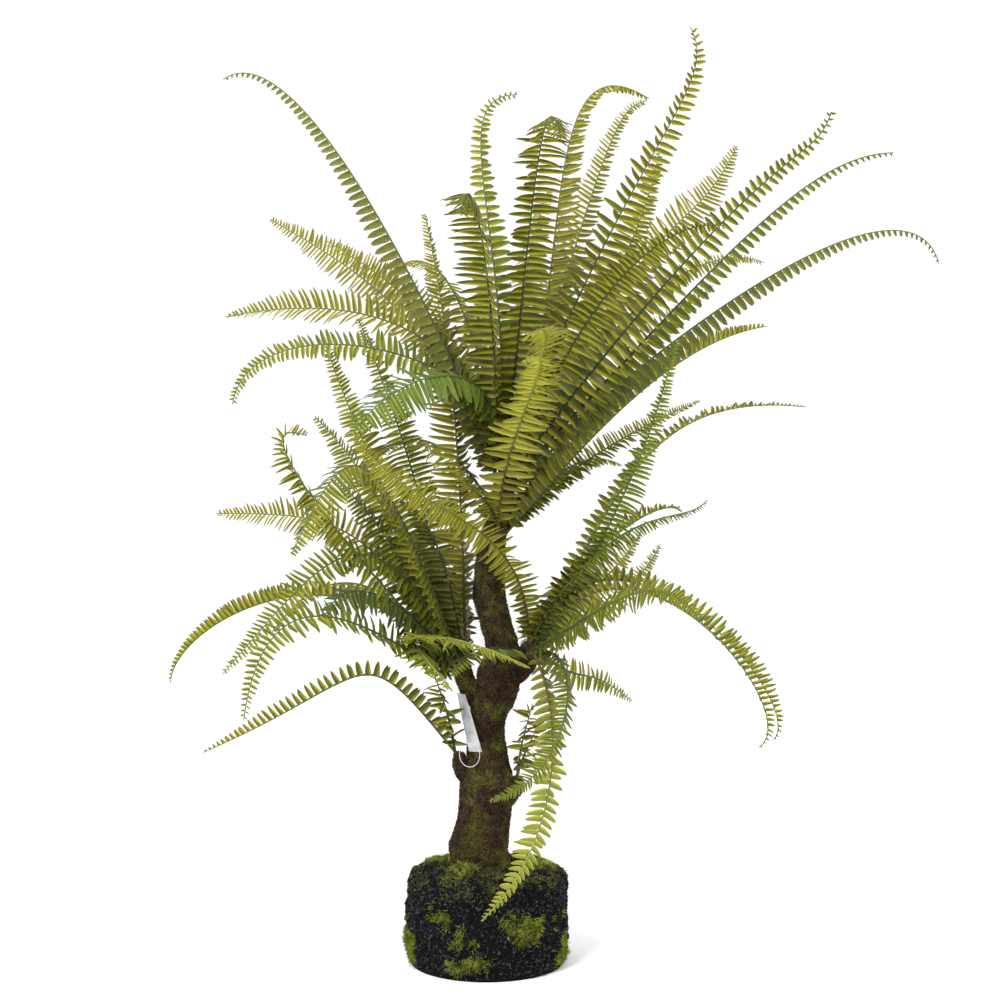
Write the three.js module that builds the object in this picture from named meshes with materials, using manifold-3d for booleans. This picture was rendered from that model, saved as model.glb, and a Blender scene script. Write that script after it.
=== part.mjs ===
// An artificial tree fern on a round plug of soil, about 1.1 m tall, in millimetres with +Z up.
// The origin is the middle of the plug's flat underside, and -Y is the front.
// The trunk stands on the plug and carries two boughs, two stubs and a crown at its own top.
// Each frond is one thin blade: a rib whose outline is cut into leaflets on both sides.
import * as THREE from 'three';
import Module from 'manifold-3d';

const wasm = await Module();
wasm.setup();

// ---- Driving dimensions ----
const clearance = 0.35; // between a limb or a frond's foot and what carries it
const plugHeight = 110;
const plugRadius = 93;
const plugRimRound = 14;
const plugSides = 32;
const limbSides = 14;
const leafletPitch = 21; // distance between two pairs of leaflets along a rib
const bareStalk = 26; // length of a rib's foot that has no leaflets
const ribHalfWidth = 1.5;
const ribDepth = 2.7;
const tipSlimming = 0.62; // share of its thickness that a rib loses from foot to tip
const socketSpacing = 5.2; // least distance between the feet of two fronds on one crown

// Stations of the trunk and the boughs: x, y, z and radius.
const trunkStations = [
  [-8, 0, plugHeight + clearance, 33], [-9, 0, 144, 32], [-4, 0, 171, 29.5], [0, 0, 211, 30.5],
  [1, 0, 234, 24], [2, 0, 259, 18.5], [3, 0, 292, 18.5], [11, 0, 320, 26], [15, 0, 345, 22.5],
  [18, 0, 369, 18.5], [10, 0, 397, 17.5], [3, 0, 428, 18], [3, 0, 462, 16.5], [10, 0, 506, 13.5],
  [20, 0, 559, 12.5],
];
const boughStations = {
  bough_left: [[3, 4, 292, 12], [-12, 8, 308, 11.5], [-24, 9, 325, 11], [-29, 8, 341, 10.5]],
  bough_right: [[12, 0, 325, 15], [32, -2, 339, 13.5], [45, -4, 352, 12.5], [50, -5, 365, 12]],
  stub_left: [[0, -2, 202, 10], [-20, -5, 214, 9.5], [-30, -6, 228, 8.5], [-32, -6, 241, 7.5]],
  stub_right: [[2, -2, 181, 10], [22, -4, 191, 9], [32, -4, 202, 8], [35, -4, 212, 7]],
};

// Where the fronds spring from: the limb, the middle of its dome and the dome's radius.
// A collar is a ring of feet on the side of a limb, with a step in height from foot to foot.
const crowns = {
  top: { on: 'trunk', at: [20, 0, 559], radius: 12.5 },
  mid: { on: 'trunk', at: [11, 0, 511], radius: 13.5, collar: true, step: 2.5 },
  left: { on: 'bough_left', at: [-29, 8, 341], radius: 10.5 },
  right: { on: 'bough_right', at: [50, -5, 365], radius: 12 },
  stub_left: { on: 'stub_left', at: [-32, -6, 241], radius: 7.5 },
  stub_right: { on: 'stub_right', at: [35, -4, 212], radius: 7 },
};

// The fronds. Each row says which crown a frond springs from, where its tip is, how steeply it leaves
// the crown and reaches its tip (degrees above level), how far each of these headings turns sideways
// from the straight way to the tip, how long its two bends are as shares of its reach, how long its
// leaflets are, from which share of its length on they get shorter, how far the blade is rolled with
// its upper side to the front, how far the leaflets droop from the blade (raised where negative), and
// its tone.
const frondTable = [
  // crown, tip, launch, land, sway, turn, bends, leaflet, full, roll, droop, tone
  ['top', [-292, -60, 1012], 72, -36, 0, 0, [0.22, 0.21], 21, 0.5, 0, 76, 'grey'],
  ['top', [-262, 140, 869], 59, 27, 0, 0, [0.5, 0.5], 24, 0.75, 80, 10, 'yellow'],
  ['top', [-196, 170, 844], 65, 25, 0, 0, [0.5, 0.45], 24, 0.7, 70, 10, 'yellow'],
  ['top', [-307, 60, 751], 81, -11, 0, 0, [0.52, 0.37], 25, 0.75, 50, -35, 'yellow'],
  ['top', [-285, -60, 652], 94, -80, 0, 0, [0.45, 0.38], 29, 0.4, 50, -15, 'leaf'],
  ['top', [-26, -190, 854], 86, -65, 0, 0, [0.6, 0.3], 30, 0.85, 25, 32, 'olive'],
  ['top', [35, 80, 1011], 96, 0, 60, -79, [0.59, 0.21], 29, 0.3, -40, 10, 'leaf'],
  ['top', [78, -200, 933], 80, -60, 20, 0, [0.6, 0.3], 32, 0.85, -20, 25, 'olive'],
  ['top', [187, 40, 1002], 69, -30, 0, 0, [0.5, 0.35], 28, 0.55, 0, 45, 'yellow'],
  ['top', [193, 170, 1014], 68, 16, 0, 0, [0.94, 0.1], 27, 0.45, 60, 10, 'yellow'],
  ['top', [229, -20, 1075], 69, 120, 0, 0, [0.75, 0.14], 36, 0.42, -60, 10, 'leaf'],
  ['top', [205, 110, 948], 58, 76, 0, 0, [0.4, 0.35], 28, 0.6, 60, 10, 'leaf'],
  ['top', [298, 120, 955], 60, 61, 0, 0, [0.83, 0.3], 26, 0.8, 70, 10, 'yellow'],
  ['top', [374, -120, 970], 52, 71, 0, 0, [0.95, 0.13], 30, 0.3, -80, 8, 'olive'],
  ['top', [456, -40, 933], 46, 0, 0, 0, [0.57, 0.18], 25, 0.3, -10, 76, 'olive'],
  ['top', [521, 20, 812], 44, -73, 0, 0, [0.46, 0.23], 21, 0.4, 0, 76, 'grey'],
  ['top', [255, -150, 846], 68, -8, 0, 0, [0.3, 0.3], 28, 0.6, -50, 15, 'olive'],
  ['top', [336, 160, 818], 57, -16, 0, 0, [0.35, 0.3], 22, 0.5, 60, 10, 'leaf'],
  ['top', [38, -190, 723], 68, -35, 35, -65, [0.55, 0.3], 27, 0.75, 0, 10, 'lime'],
  ['top', [-144, -160, 621], 90, -53, 0, 0, [0.75, 0.32], 31, 0.8, 35, 10, 'bright'],
  ['top', [78, 260, 913], 74, 20, 0, 0, [0.4, 0.3], 28, 0.5, 0, 15, 'leaf'],
  ['top', [-120, 230, 810], 66, -20, 0, 0, [0.5, 0.4], 26, 0.5, 0, 20, 'leaf'],
  ['top', [150, 280, 810], 62, -25, 0, 0, [0.5, 0.4], 28, 0.5, 0, 20, 'olive'],
  ['top', [-30, 300, 711], 66, -50, 0, 0, [0.6, 0.45], 26, 0.5, 0, 20, 'leaf'],
  ['top', [200, 260, 691], 56, -50, 0, 0, [0.5, 0.4], 26, 0.5, 0, 25, 'olive'],
  ['mid', [328, 60, 740], 48, 8, 0, 0, [0.35, 0.3], 22, 0.7, 0, -72, 'leaf'],
  ['mid', [277, 190, 790], 57, 31, 0, 0, [0.35, 0.35], 28, 0.5, 70, 10, 'yellow'],
  ['mid', [257, 130, 651], 40, 19, 0, 0, [0.35, 0.35], 16, 0.5, 40, -30, 'leaf'],
  ['mid', [160, 80, 575], 48, -28, 0, 0, [0.4, 0.35], 18, 0.5, 30, 15, 'leaf'],
  ['mid', [38, -230, 701], 80, -25, 0, -66, [0.4, 0.25], 30, 0.6, 0, 10, 'lime'],
  ['mid', [-31, -100, 586], 62, 60, 0, 0, [0.35, 0.3], 18, 0.6, 0, 10, 'leaf'],
  ['mid', [60, 250, 611], 50, -45, 0, 0, [0.5, 0.4], 26, 0.5, 0, 20, 'olive'],
  ['mid', [-150, 200, 571], 50, -35, 0, 0, [0.5, 0.4], 24, 0.5, 0, 20, 'leaf'],
  ['left', [-73, 60, 871], 88, 71, 0, 0, [0.35, 0.35], 29, 0.6, 0, 10, 'yellow'],
  ['left', [-197, 120, 726], 64, 68, 0, 0, [0.33, 0.33], 25, 0.6, 60, 10, 'leaf'],
  ['left', [-160, 190, 750], 67, 52, 0, 0, [0.35, 0.35], 24, 0.6, 40, 10, 'olive'],
  ['left', [-199, -90, 618], 46, 199, 0, 0, [0.79, 0.25], 24, 0.85, 40, 10, 'leaf'],
  ['left', [-196, -30, 638], 67, 46, 0, 0, [0.35, 0.35], 22, 0.75, 60, 10, 'leaf'],
  ['left', [-211, -150, 491], 66, -60, 0, 0, [1.15, 0.6], 28, 0.8, 20, 15, 'leaf'],
  ['left', [-317, 40, 521], 56, -1, 0, 0, [0.6, 0.45], 25, 0.7, 50, -20, 'yellow'],
  ['left', [-170, -60, 569], 62, 44, 0, 0, [0.35, 0.35], 24, 0.6, 70, 10, 'olive'],
  ['left', [-98, -80, 546], 78, 15, 0, 0, [0.5, 0.25], 24, 0.6, 10, 15, 'dark'],
  ['left', [-370, 20, 324], 51, -89, 0, 0, [0.63, 0.2], 16, 0.7, 0, -74, 'leaf'],
  ['left', [-291, -120, 356], 60, -46, 0, 0, [0.8, 0.68], 20, 0.65, 50, -15, 'leaf'],
  ['left', [-260, -190, 317], 5, -80, 0, 0, [0.2, 0.75], 20, 0.65, 45, -25, 'leaf'],
  ['left', [-182, -100, 412], 50, -67, 0, 0, [0.62, 0.35], 29, 0.75, 30, 15, 'dark'],
  ['left', [47, -150, 368], 25, -22, -96, 39, [0.65, 0.68], 25, 0.6, 30, 10, 'lime'],
  ['left', [-38, -110, 335], 35, -35, -60, 45, [0.75, 0.6], 20, 0.6, 0, 10, 'lime'],
  ['left', [-180, 230, 430], 48, -50, 0, 0, [0.6, 0.45], 25, 0.5, 0, 20, 'leaf'],
  ['left', [-60, 280, 490], 58, -45, 0, 0, [0.55, 0.45], 25, 0.5, 0, 20, 'olive'],
  ['left', [-266, 150, 365], 46, -50, 0, 0, [0.6, 0.45], 23, 0.5, 0, 20, 'leaf'],
  ['right', [-143, -170, 625], 89, 54, 0, 0, [0.45, 0.36], 25, 0.75, -60, 30, 'lime'],
  ['right', [-40, -120, 352], 10, -45, 0, 0, [0.4, 0.35], 21, 0.6, 0, 10, 'olive'],
  ['right', [209, -110, 726], 55, 76, 0, 0, [0.35, 0.35], 21, 0.5, -40, 20, 'bright'],
  ['right', [372, 40, 646], 61, -6, 0, 0, [0.5, 0.45], 22, 0.5, 0, -40, 'leaf'],
  ['right', [240, -142, 550], 57, 50, 0, 0, [0.76, 0.16], 17, 0.5, -20, 30, 'bright'],
  ['right', [219, -60, 531], 71, -47, 0, 0, [0.34, 0.16], 22, 0.75, 0, -40, 'leaf'],
  ['right', [187, 130, 495], 38, 54, 0, 0, [0.35, 0.3], 22, 0.5, 60, 10, 'yellow'],
  ['right', [214, 190, 471], 15, 49, 0, 0, [0.35, 0.3], 22, 0.5, 50, 10, 'yellow'],
  ['right', [298, -150, 280], 57, -146, 0, 0, [0.75, 0.25], 15, 0.8, 20, -60, 'leaf'],
  ['right', [322, -80, 275], 66, -137, 0, 0, [0.73, 0.21], 15, 0.8, 20, -60, 'leaf'],
  ['right', [227, -200, 427], 25, -45, 0, 0, [0.45, 0.35], 21, 0.6, 50, 0, 'leaf'],
  ['right', [174, 90, 291], -35, -36, 0, 0, [0.58, 0.63], 17, 0.5, 80, 8, 'leaf'],
  ['right', [3, -150, 221], 10, -8, 68, -62, [0.38, 0.44], 17, 0.7, 0, 30, 'leaf'],
  ['right', [-6, -125, 80], -35, -38, 48, -42, [0.35, 0.4], 18, 0.7, 0, 15, 'lime'],
  ['right', [141, 240, 380], 40, -50, 0, 0, [0.5, 0.4], 25, 0.5, 0, 20, 'leaf'],
  ['right', [92, 250, 330], 20, -55, 0, 0, [0.5, 0.45], 26, 0.5, 0, 20, 'olive'],
  ['stub_left', [-322, -60, 257], 52, -22, 0, 0, [0.66, 0.76], 15, 0.75, 0, -74, 'leaf'],
  ['stub_left', [-62, -45, 350], 80, 62, 0, 0, [0.35, 0.3], 17, 0.8, 0, 10, 'olive'],
  ['stub_right', [52, -40, 310], 84, 65, 0, 0, [0.35, 0.3], 16, 0.8, 0, 10, 'leaf'],
  ['stub_right', [60, 50, 276], 62, 70, 0, 0, [0.35, 0.3], 16, 0.8, 0, 10, 'leaf'],
];

// Base colours of the blades, by tone.
const tones = {
  olive: 0x4b5320, leaf: 0x6f7f2e, yellow: 0x9c9a3c, grey: 0x5a6b3c, lime: 0x8f9a3a,
  bright: 0x6d8f32, dark: 0x3f4f22,
};
// Fronds that share one node: a small frond is fused to the foot of the one before it in the table.
const fusedFronds = [3, 10, 12, 18, 22, 24, 29, 31, 33, 36, 38, 41, 48, 50, 57, 59, 67, 69, 71];

const vector = (p) => new THREE.Vector3(...p);
const radians = THREE.MathUtils.degToRad;

// A unit vector from its azimuth and its rise above level, in degrees.
function heading(azimuth, rise) {
  const a = radians(azimuth);
  const r = radians(rise);
  return new THREE.Vector3(Math.cos(r) * Math.cos(a), Math.cos(r) * Math.sin(a), Math.sin(r));
}

// ---- Joining and cutting closed meshes ----
function solid(vertices, triangles) {
  return new wasm.Manifold(new wasm.Mesh({
    numProp: 3, vertProperties: new Float32Array(vertices), triVerts: new Uint32Array(triangles),
  }));
}

function geometry(body) {
  const mesh = body.getMesh();
  const shape = new THREE.BufferGeometry();
  shape.setAttribute('position', new THREE.BufferAttribute(mesh.vertProperties, 3));
  shape.setIndex(new THREE.BufferAttribute(mesh.triVerts, 1));
  return shape;
}

// A closed skin over rings of points that all have the same count, with a fan over each end.
function loft(rings) {
  const sides = rings[0].length;
  const vertices = rings.flat().flatMap((p) => p.toArray());
  const triangles = [];
  for (let ring = 0; ring + 1 < rings.length; ring += 1) {
    for (let side = 0; side < sides; side += 1) {
      const a = ring * sides + side;
      const b = ring * sides + (side + 1) % sides;
      triangles.push(a, b, b + sides, a, b + sides, a + sides);
    }
  }
  for (const [ring, forward] of [[0, false], [rings.length - 1, true]]) {
    const centre = rings[ring].reduce((sum, p) => sum.add(p), new THREE.Vector3()).divideScalar(sides);
    const hub = vertices.length / 3;
    vertices.push(...centre.toArray());
    for (let side = 0; side < sides; side += 1) {
      const a = ring * sides + side;
      const b = ring * sides + (side + 1) % sides;
      triangles.push(...(forward ? [a, b, hub] : [b, a, hub]));
    }
  }
  return solid(vertices, triangles);
}

// ---- Trunk, boughs and stubs ----
// A limb is a round tapering tube through its stations, with level rings while upright is set,
// and it ends in a dome on its last station.
function limb(stations, steps, { upright = false, grow = 0, knobs = 0, dome = true } = {}) {
  const path = new THREE.CatmullRomCurve3(stations.map((s) => vector(s)), false, 'centripetal');
  const last = stations.length - 1;
  const rings = [];
  const ring = (centre, across, up, radius) => Array.from({ length: limbSides }, (_, side) => {
    const angle = (2 * Math.PI * side) / limbSides;
    const ripple = 1 + knobs * (Math.sin(3 * angle + centre.z / 21) + Math.sin(5 * angle - centre.z / 13));
    return centre.clone().addScaledVector(across, radius * ripple * Math.cos(angle))
      .addScaledVector(up, radius * ripple * Math.sin(angle));
  });
  for (let step = 0; step <= steps; step += 1) {
    const t = step / steps;
    const at = Math.min(Math.floor(t * last), last - 1);
    const radius = THREE.MathUtils.lerp(stations[at][3], stations[at + 1][3], t * last - at) + grow;
    const ahead = upright ? new THREE.Vector3(0, 0, 1) : path.getTangent(t);
    const across = new THREE.Vector3(0, 1, 0).cross(ahead).normalize();
    const up = ahead.clone().cross(across);
    rings.push(ring(path.getPoint(t), across, up, radius));
    if (step === steps && dome) {
      for (const lift of [30, 58, 80]) {
        const centre = path.getPoint(1).addScaledVector(ahead, radius * Math.sin(radians(lift)));
        rings.push(ring(centre, across, up, radius * Math.cos(radians(lift))));
      }
    }
  }
  return loft(rings);
}

const trunkSteps = 26;
const boughSteps = 5;
const trunkKnobs = 0.035;
const trunk = limb(trunkStations, trunkSteps, { upright: true, knobs: trunkKnobs });
const trunkSpace = limb(trunkStations, trunkSteps, { upright: true, knobs: trunkKnobs, grow: clearance });
const limbs = { trunk };
for (const [name, stations] of Object.entries(boughStations)) {
  limbs[name] = limb(stations, boughSteps).subtract(trunkSpace);
}

// ---- Soil plug: a squat drum with a rounded rim, flat above and below ----
function plugProfile() {
  const bulge = 2;
  const topRadius = plugRadius - plugRimRound;
  const rim = [20, 45, 70, 90].map((angle) => new THREE.Vector2(
    topRadius + plugRimRound * Math.cos(radians(angle)),
    plugHeight - plugRimRound + plugRimRound * Math.sin(radians(angle)),
  ));
  return [
    new THREE.Vector2(plugRadius - 4, 0), new THREE.Vector2(plugRadius, 7),
    new THREE.Vector2(plugRadius + bulge, plugHeight / 2),
    new THREE.Vector2(plugRadius, plugHeight - plugRimRound), ...rim,
  ];
}

function plug() {
  const rings = plugProfile().map(({ x: radius, y: height }) => (
    Array.from({ length: plugSides }, (_, side) => {
      const angle = (2 * Math.PI * side) / plugSides;
      return new THREE.Vector3(radius * Math.cos(angle), radius * Math.sin(angle), height);
    })
  ));
  return loft(rings);
}

// ---- Swing tag: a thin blank card that leans on the trunk's left, twisted along its length ----
const tagFoot = [-13, -17.4, 250];
const tagHead = [-30, -13, 317];
const tagHalfWidth = 8;
const tagThickness = 1;
const tagTurns = [-20, -55]; // which way its width faces at the foot and at the head, in degrees

function swingTag() {
  const steps = 4;
  const rings = [];
  for (let step = 0; step <= steps; step += 1) {
    const t = step / steps;
    const centre = vector(tagFoot).lerp(vector(tagHead), t);
    const wide = heading(THREE.MathUtils.lerp(...tagTurns, t), 0);
    const thick = new THREE.Vector3(-wide.y, wide.x, 0).multiplyScalar(tagThickness / 2);
    wide.multiplyScalar(tagHalfWidth);
    rings.push([
      centre.clone().sub(wide).sub(thick), centre.clone().add(wide).sub(thick),
      centre.clone().add(wide).add(thick), centre.clone().sub(wide).add(thick),
    ]);
  }
  return loft(rings);
}

// ---- Fronds ----
// The feet on one crown are moved apart until they have room.
function spreadSockets(sockets, radius) {
  const room = socketSpacing / radius;
  const passes = 200;
  for (let pass = 0; pass < passes; pass += 1) {
    for (let i = 0; i < sockets.length; i += 1) {
      for (let j = 0; j < i; j += 1) {
        const apart = sockets[i].clone().sub(sockets[j]);
        const distance = apart.length();
        if (distance < room) {
          apart.multiplyScalar((room - distance) / 2 / Math.max(distance, 1e-6));
          sockets[i].add(apart).normalize();
          sockets[j].sub(apart).normalize();
        }
      }
    }
  }
}

// The foot of a rib, just clear of the limb's skin where a line out of the crown leaves it.
const footHalfSize = 1.9;

function seatFoot(frond) {
  const { crown, socket, lift } = frond;
  const middle = vector(crown.at);
  middle.z += lift;
  const skin = new THREE.Mesh(geometry(limbs[crown.on]), new THREE.MeshBasicMaterial());
  const farOut = 4 * crown.radius;
  const ray = new THREE.Raycaster(middle.clone().addScaledVector(socket, farOut), socket.clone().negate());
  const stand = farOut - ray.intersectObject(skin)[0].distance;
  const lean = Math.max(...frond.grows.map(({ setOff }) => Math.sin(socket.angleTo(setOff))));
  return middle.addScaledVector(socket, stand + clearance + footHalfSize * lean);
}

function readFronds() {
  const fronds = frondTable.map((row, index) => {
    const [crownName, tip, launch, land, sway, turn, bends, leaflet, full, roll, droop, tone] = row;
    const crown = crowns[crownName];
    const middle = vector(crown.at);
    const end = vector(tip);
    const azimuth = THREE.MathUtils.radToDeg(Math.atan2(end.y - middle.y, end.x - middle.x));
    const setOff = heading(azimuth + sway, launch);
    const socket = heading(azimuth + sway, crown.collar ? 0 : Math.max(launch, -12));
    const arrive = heading(azimuth + turn, land);
    return {
      index, crownName, crown, end, azimuth: azimuth + sway, setOff, socket, arrive, bends, leaflet, full,
      roll: radians(roll) * Math.sign(Math.cos(radians(azimuth))), droop: radians(droop), tone,
      fused: fusedFronds.includes(index + 1),
    };
  });
  fronds.forEach((frond, i) => { frond.grows = fronds[i + 1]?.fused ? [frond, fronds[i + 1]] : [frond]; });
  for (const [name, crown] of Object.entries(crowns)) {
    const own = fronds.filter((frond) => frond.crownName === name && !frond.fused);
    spreadSockets(own.map((frond) => frond.socket), crown.radius);
    own.forEach((frond, order) => { frond.lift = crown.collar ? crown.step * (order - own.length / 2) : 0; });
  }
  return fronds;
}

// The rib of a frond as even stations along one smooth curve from its foot to its tip.
function layRib(frond, before) {
  const { setOff, arrive, bends, end } = frond;
  frond.foot = frond.fused ? before.foot.clone() : seatFoot(frond);
  const reach = frond.foot.distanceTo(end);
  const curve = new THREE.CubicBezierCurve3(
    frond.foot,
    frond.foot.clone().addScaledVector(setOff, bends[0] * reach),
    end.clone().addScaledVector(arrive, -bends[1] * reach),
    end,
  );
  frond.length = curve.getLength();
  frond.pairs = Math.max(4, Math.round(frond.length / leafletPitch));
  frond.rib = curve.getSpacedPoints(frond.pairs + 1);
}

const ribSize = (frond, station) => 1 - (tipSlimming * station) / (frond.pairs + 1);

// The nearest points of two straight stretches, as shares of each.
function nearest(a, b, c, d) {
  const along = b.clone().sub(a);
  const other = d.clone().sub(c);
  const between = a.clone().sub(c);
  const aa = along.dot(along);
  const oo = other.dot(other);
  const ao = along.dot(other);
  const clamp = (value) => Math.min(1, Math.max(0, value));
  const spread = aa * oo - ao * ao;
  let s = spread > 1e-9 ? clamp((ao * other.dot(between) - oo * along.dot(between)) / spread) : 0.5;
  const t = clamp((ao * s + other.dot(between)) / oo);
  s = clamp((ao * t - along.dot(between)) / aa);
  return { s, t, gap: between.addScaledVector(along, s).addScaledVector(other, -t) };
}

// Pushes a rib sideways round one place on it, less and less with distance, and never at its foot.
function nudge(frond, place, push) {
  const softness = 2.2;
  for (let station = 1; station < frond.rib.length; station += 1) {
    const rooted = Math.min(1, station / 2);
    frond.rib[station].addScaledVector(push, rooted * Math.exp(-(((station - place) / softness) ** 2)));
  }
}

// Eases every pair of ribs apart, and every rib away from the limbs, until each has its room.
function easeApart(fronds) {
  const passes = 60;
  const spare = 1.3;
  const boxes = fronds.map((frond) => new THREE.Box3());
  for (let pass = 0; pass < passes; pass += 1) {
    fronds.forEach((frond, i) => boxes[i].setFromPoints(frond.rib).expandByScalar(3));
    for (let i = 0; i < fronds.length; i += 1) {
      for (let j = 0; j < i; j += 1) {
        if (boxes[i].intersectsBox(boxes[j])) easePair(fronds[i], fronds[j], spare);
      }
    }
    fronds.forEach(keepOffLimbs);
  }
}

function easePair(one, two, spare) {
  const sameFoot = one.foot.distanceTo(two.foot) < 1;
  for (let m = 0; m + 1 < one.rib.length; m += 1) {
    for (let n = 0; n + 1 < two.rib.length; n += 1) {
      if (sameFoot && m + n < 2) continue;
      const a = one.rib[m];
      const c = two.rib[n];
      if (a.distanceToSquared(c) > (3 * leafletPitch) ** 2) continue;
      const { s, t, gap } = nearest(a, one.rib[m + 1], c, two.rib[n + 1]);
      const room = ribDepth * 0.75 * (ribSize(one, m) + ribSize(two, n)) + spare;
      const distance = gap.length();
      if (distance >= room) continue;
      if (distance < 1e-3) gap.set(0, 0, 1);
      gap.setLength((room - distance) * 0.6);
      nudge(one, m + s, gap);
      nudge(two, n + t, gap.negate());
    }
  }
}

// The limbs as short straight stretches with a radius at each end.
const limbStretches = [trunkStations, ...Object.values(boughStations)].flatMap((stations) => (
  stations.slice(1).map((next, i) => ({
    a: vector(stations[i]), b: vector(next), ra: stations[i][3], rb: next[3],
  }))
));

// How deep a point is inside the nearest limb or the plug with some room round them, and the way out.
function wayOut(point, room) {
  let worst = { depth: 0 };
  for (const { a, b, ra, rb } of limbStretches) {
    const along = b.clone().sub(a);
    const t = Math.min(1, Math.max(0, point.clone().sub(a).dot(along) / along.lengthSq()));
    const out = point.clone().sub(a.clone().addScaledVector(along, t));
    const depth = THREE.MathUtils.lerp(ra, rb, t) * (1 + 2 * trunkKnobs) + room - out.length();
    if (depth > worst.depth) worst = { depth, out: out.normalize() };
  }
  const round = Math.hypot(point.x, point.y);
  const inPlug = plugRadius + 2 + room - round;
  if (point.z < plugHeight + room && inPlug > worst.depth) {
    worst = { depth: inPlug, out: new THREE.Vector3(point.x / round, point.y / round, 0) };
  }
  return worst;
}

function keepOffLimbs(frond) {
  const room = 4;
  for (let station = 2; station < frond.rib.length; station += 1) {
    const { depth, out } = wayOut(frond.rib[station], room);
    if (depth > 0) nudge(frond, station, out.clone().multiplyScalar(depth * 0.5));
  }
}

// The blade's width and upper side at each station, carried along the rib from its foot.
function frameRib(frond) {
  const { rib, azimuth, roll } = frond;
  const wide = new THREE.Vector3(-Math.sin(radians(azimuth)), Math.cos(radians(azimuth)), 0);
  frond.frames = rib.map((point, station) => {
    const from = rib[Math.max(station - 1, 0)];
    const to = rib[Math.min(station + 1, rib.length - 1)];
    const ahead = to.clone().sub(from).normalize();
    wide.addScaledVector(ahead, -wide.dot(ahead)).normalize();
    const flip = frond.droop < 0 ? Math.PI : 0;
    const across = wide.clone().applyAxisAngle(ahead, roll + flip);
    return { ahead, across, above: ahead.clone().cross(across) };
  });
}

// Left, right and keel points of a rib, the keel's half way between two stations, and one at its foot.
function shapeRib(frond) {
  const { rib, frames, pairs } = frond;
  frond.left = [];
  frond.right = [];
  frond.keel = [];
  for (let station = 0; station <= pairs; station += 1) {
    const size = ribSize(frond, station);
    const { across, above } = frames[station];
    const raised = rib[station].clone().addScaledVector(above, 0.4 * ribDepth * size);
    frond.left.push(raised.clone().addScaledVector(across, ribHalfWidth * size));
    frond.right.push(raised.clone().addScaledVector(across, -ribHalfWidth * size));
    if (station < pairs) {
      const middle = rib[station].clone().lerp(rib[station + 1], 0.5);
      const under = above.clone().add(frames[station + 1].above).normalize();
      frond.keel.push(middle.addScaledVector(under, -0.6 * ribDepth * size));
    }
  }
  frond.heel = rib[0].clone().addScaledVector(frames[0].above, -0.6 * ribDepth);
  frond.point = rib[pairs + 1].clone();
}

// How long a leaflet is at a share of the way along its rib: shorter at the foot, slight at the tip.
function leafletShare(frond, t) {
  const foot = 0.55 + 0.45 * Math.min(1, t / 0.2);
  const left = 1 - Math.max(0, (t - frond.full) / (1 - frond.full));
  return foot * (0.14 + 0.86 * left);
}

// ---- Room between solids: two convex pieces are apart if some plane parts them ----
function piece(points) {
  const edges = [];
  for (let i = 0; i < points.length; i += 1) {
    for (let j = 0; j < i; j += 1) edges.push(points[i].clone().sub(points[j]));
  }
  const faces = [];
  for (let i = 0; i < edges.length; i += 1) {
    for (let j = 0; j < i; j += 1) {
      const normal = edges[i].clone().cross(edges[j]);
      if (normal.lengthSq() > 1e-6) faces.push(normal.normalize());
    }
  }
  return { points, edges, faces, box: new THREE.Box3().setFromPoints(points) };
}

function partedBy(axis, one, two, gap) {
  let [lowOne, highOne, lowTwo, highTwo] = [Infinity, -Infinity, Infinity, -Infinity];
  for (const p of one.points) {
    const reach = axis.dot(p);
    lowOne = Math.min(lowOne, reach);
    highOne = Math.max(highOne, reach);
  }
  for (const p of two.points) {
    const reach = axis.dot(p);
    lowTwo = Math.min(lowTwo, reach);
    highTwo = Math.max(highTwo, reach);
  }
  return lowOne - highTwo >= gap || lowTwo - highOne >= gap;
}

function apart(one, two, gap) {
  if (!one.box.clone().expandByScalar(gap).intersectsBox(two.box)) return true;
  if (one.faces.some((axis) => partedBy(axis, one, two, gap))) return true;
  if (two.faces.some((axis) => partedBy(axis, one, two, gap))) return true;
  for (const e of one.edges) {
    for (const f of two.edges) {
      const axis = e.clone().cross(f);
      if (axis.lengthSq() > 1e-6 && partedBy(axis.normalize(), one, two, gap)) return true;
    }
  }
  return false;
}

// Pieces are kept in cells of space, so that only near ones are compared.
const cellSize = 40;
const cells = new Map();
function cellsOf(box) {
  const keys = [];
  const low = box.min.clone().divideScalar(cellSize).floor();
  const high = box.max.clone().divideScalar(cellSize).floor();
  for (let x = low.x; x <= high.x; x += 1) {
    for (let y = low.y; y <= high.y; y += 1) {
      for (let z = low.z; z <= high.z; z += 1) keys.push(`${x} ${y} ${z}`);
    }
  }
  return keys;
}

function keep(held) {
  for (const key of cellsOf(held.box)) {
    if (!cells.has(key)) cells.set(key, []);
    cells.get(key).push(held);
  }
}

function hasRoom(tried, frond, station, gap) {
  const near = new Set(cellsOf(tried.box).flatMap((key) => cells.get(key) ?? []));
  for (const held of near) {
    const own = held.frond === frond && Math.abs(held.station - station) < 3;
    if (!own && !apart(tried, held, gap)) return false;
  }
  return true;
}

function keepRib(frond) {
  for (let station = 0; station < frond.pairs; station += 1) {
    const { left, right, keel } = frond;
    const corners = [left[station], right[station], left[station + 1], right[station + 1], keel[station]];
    if (keel[station + 1]) corners.push(keel[station + 1]);
    if (station === 0) corners.push(frond.heel);
    keep({ ...piece(corners), frond, station });
  }
}

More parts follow.
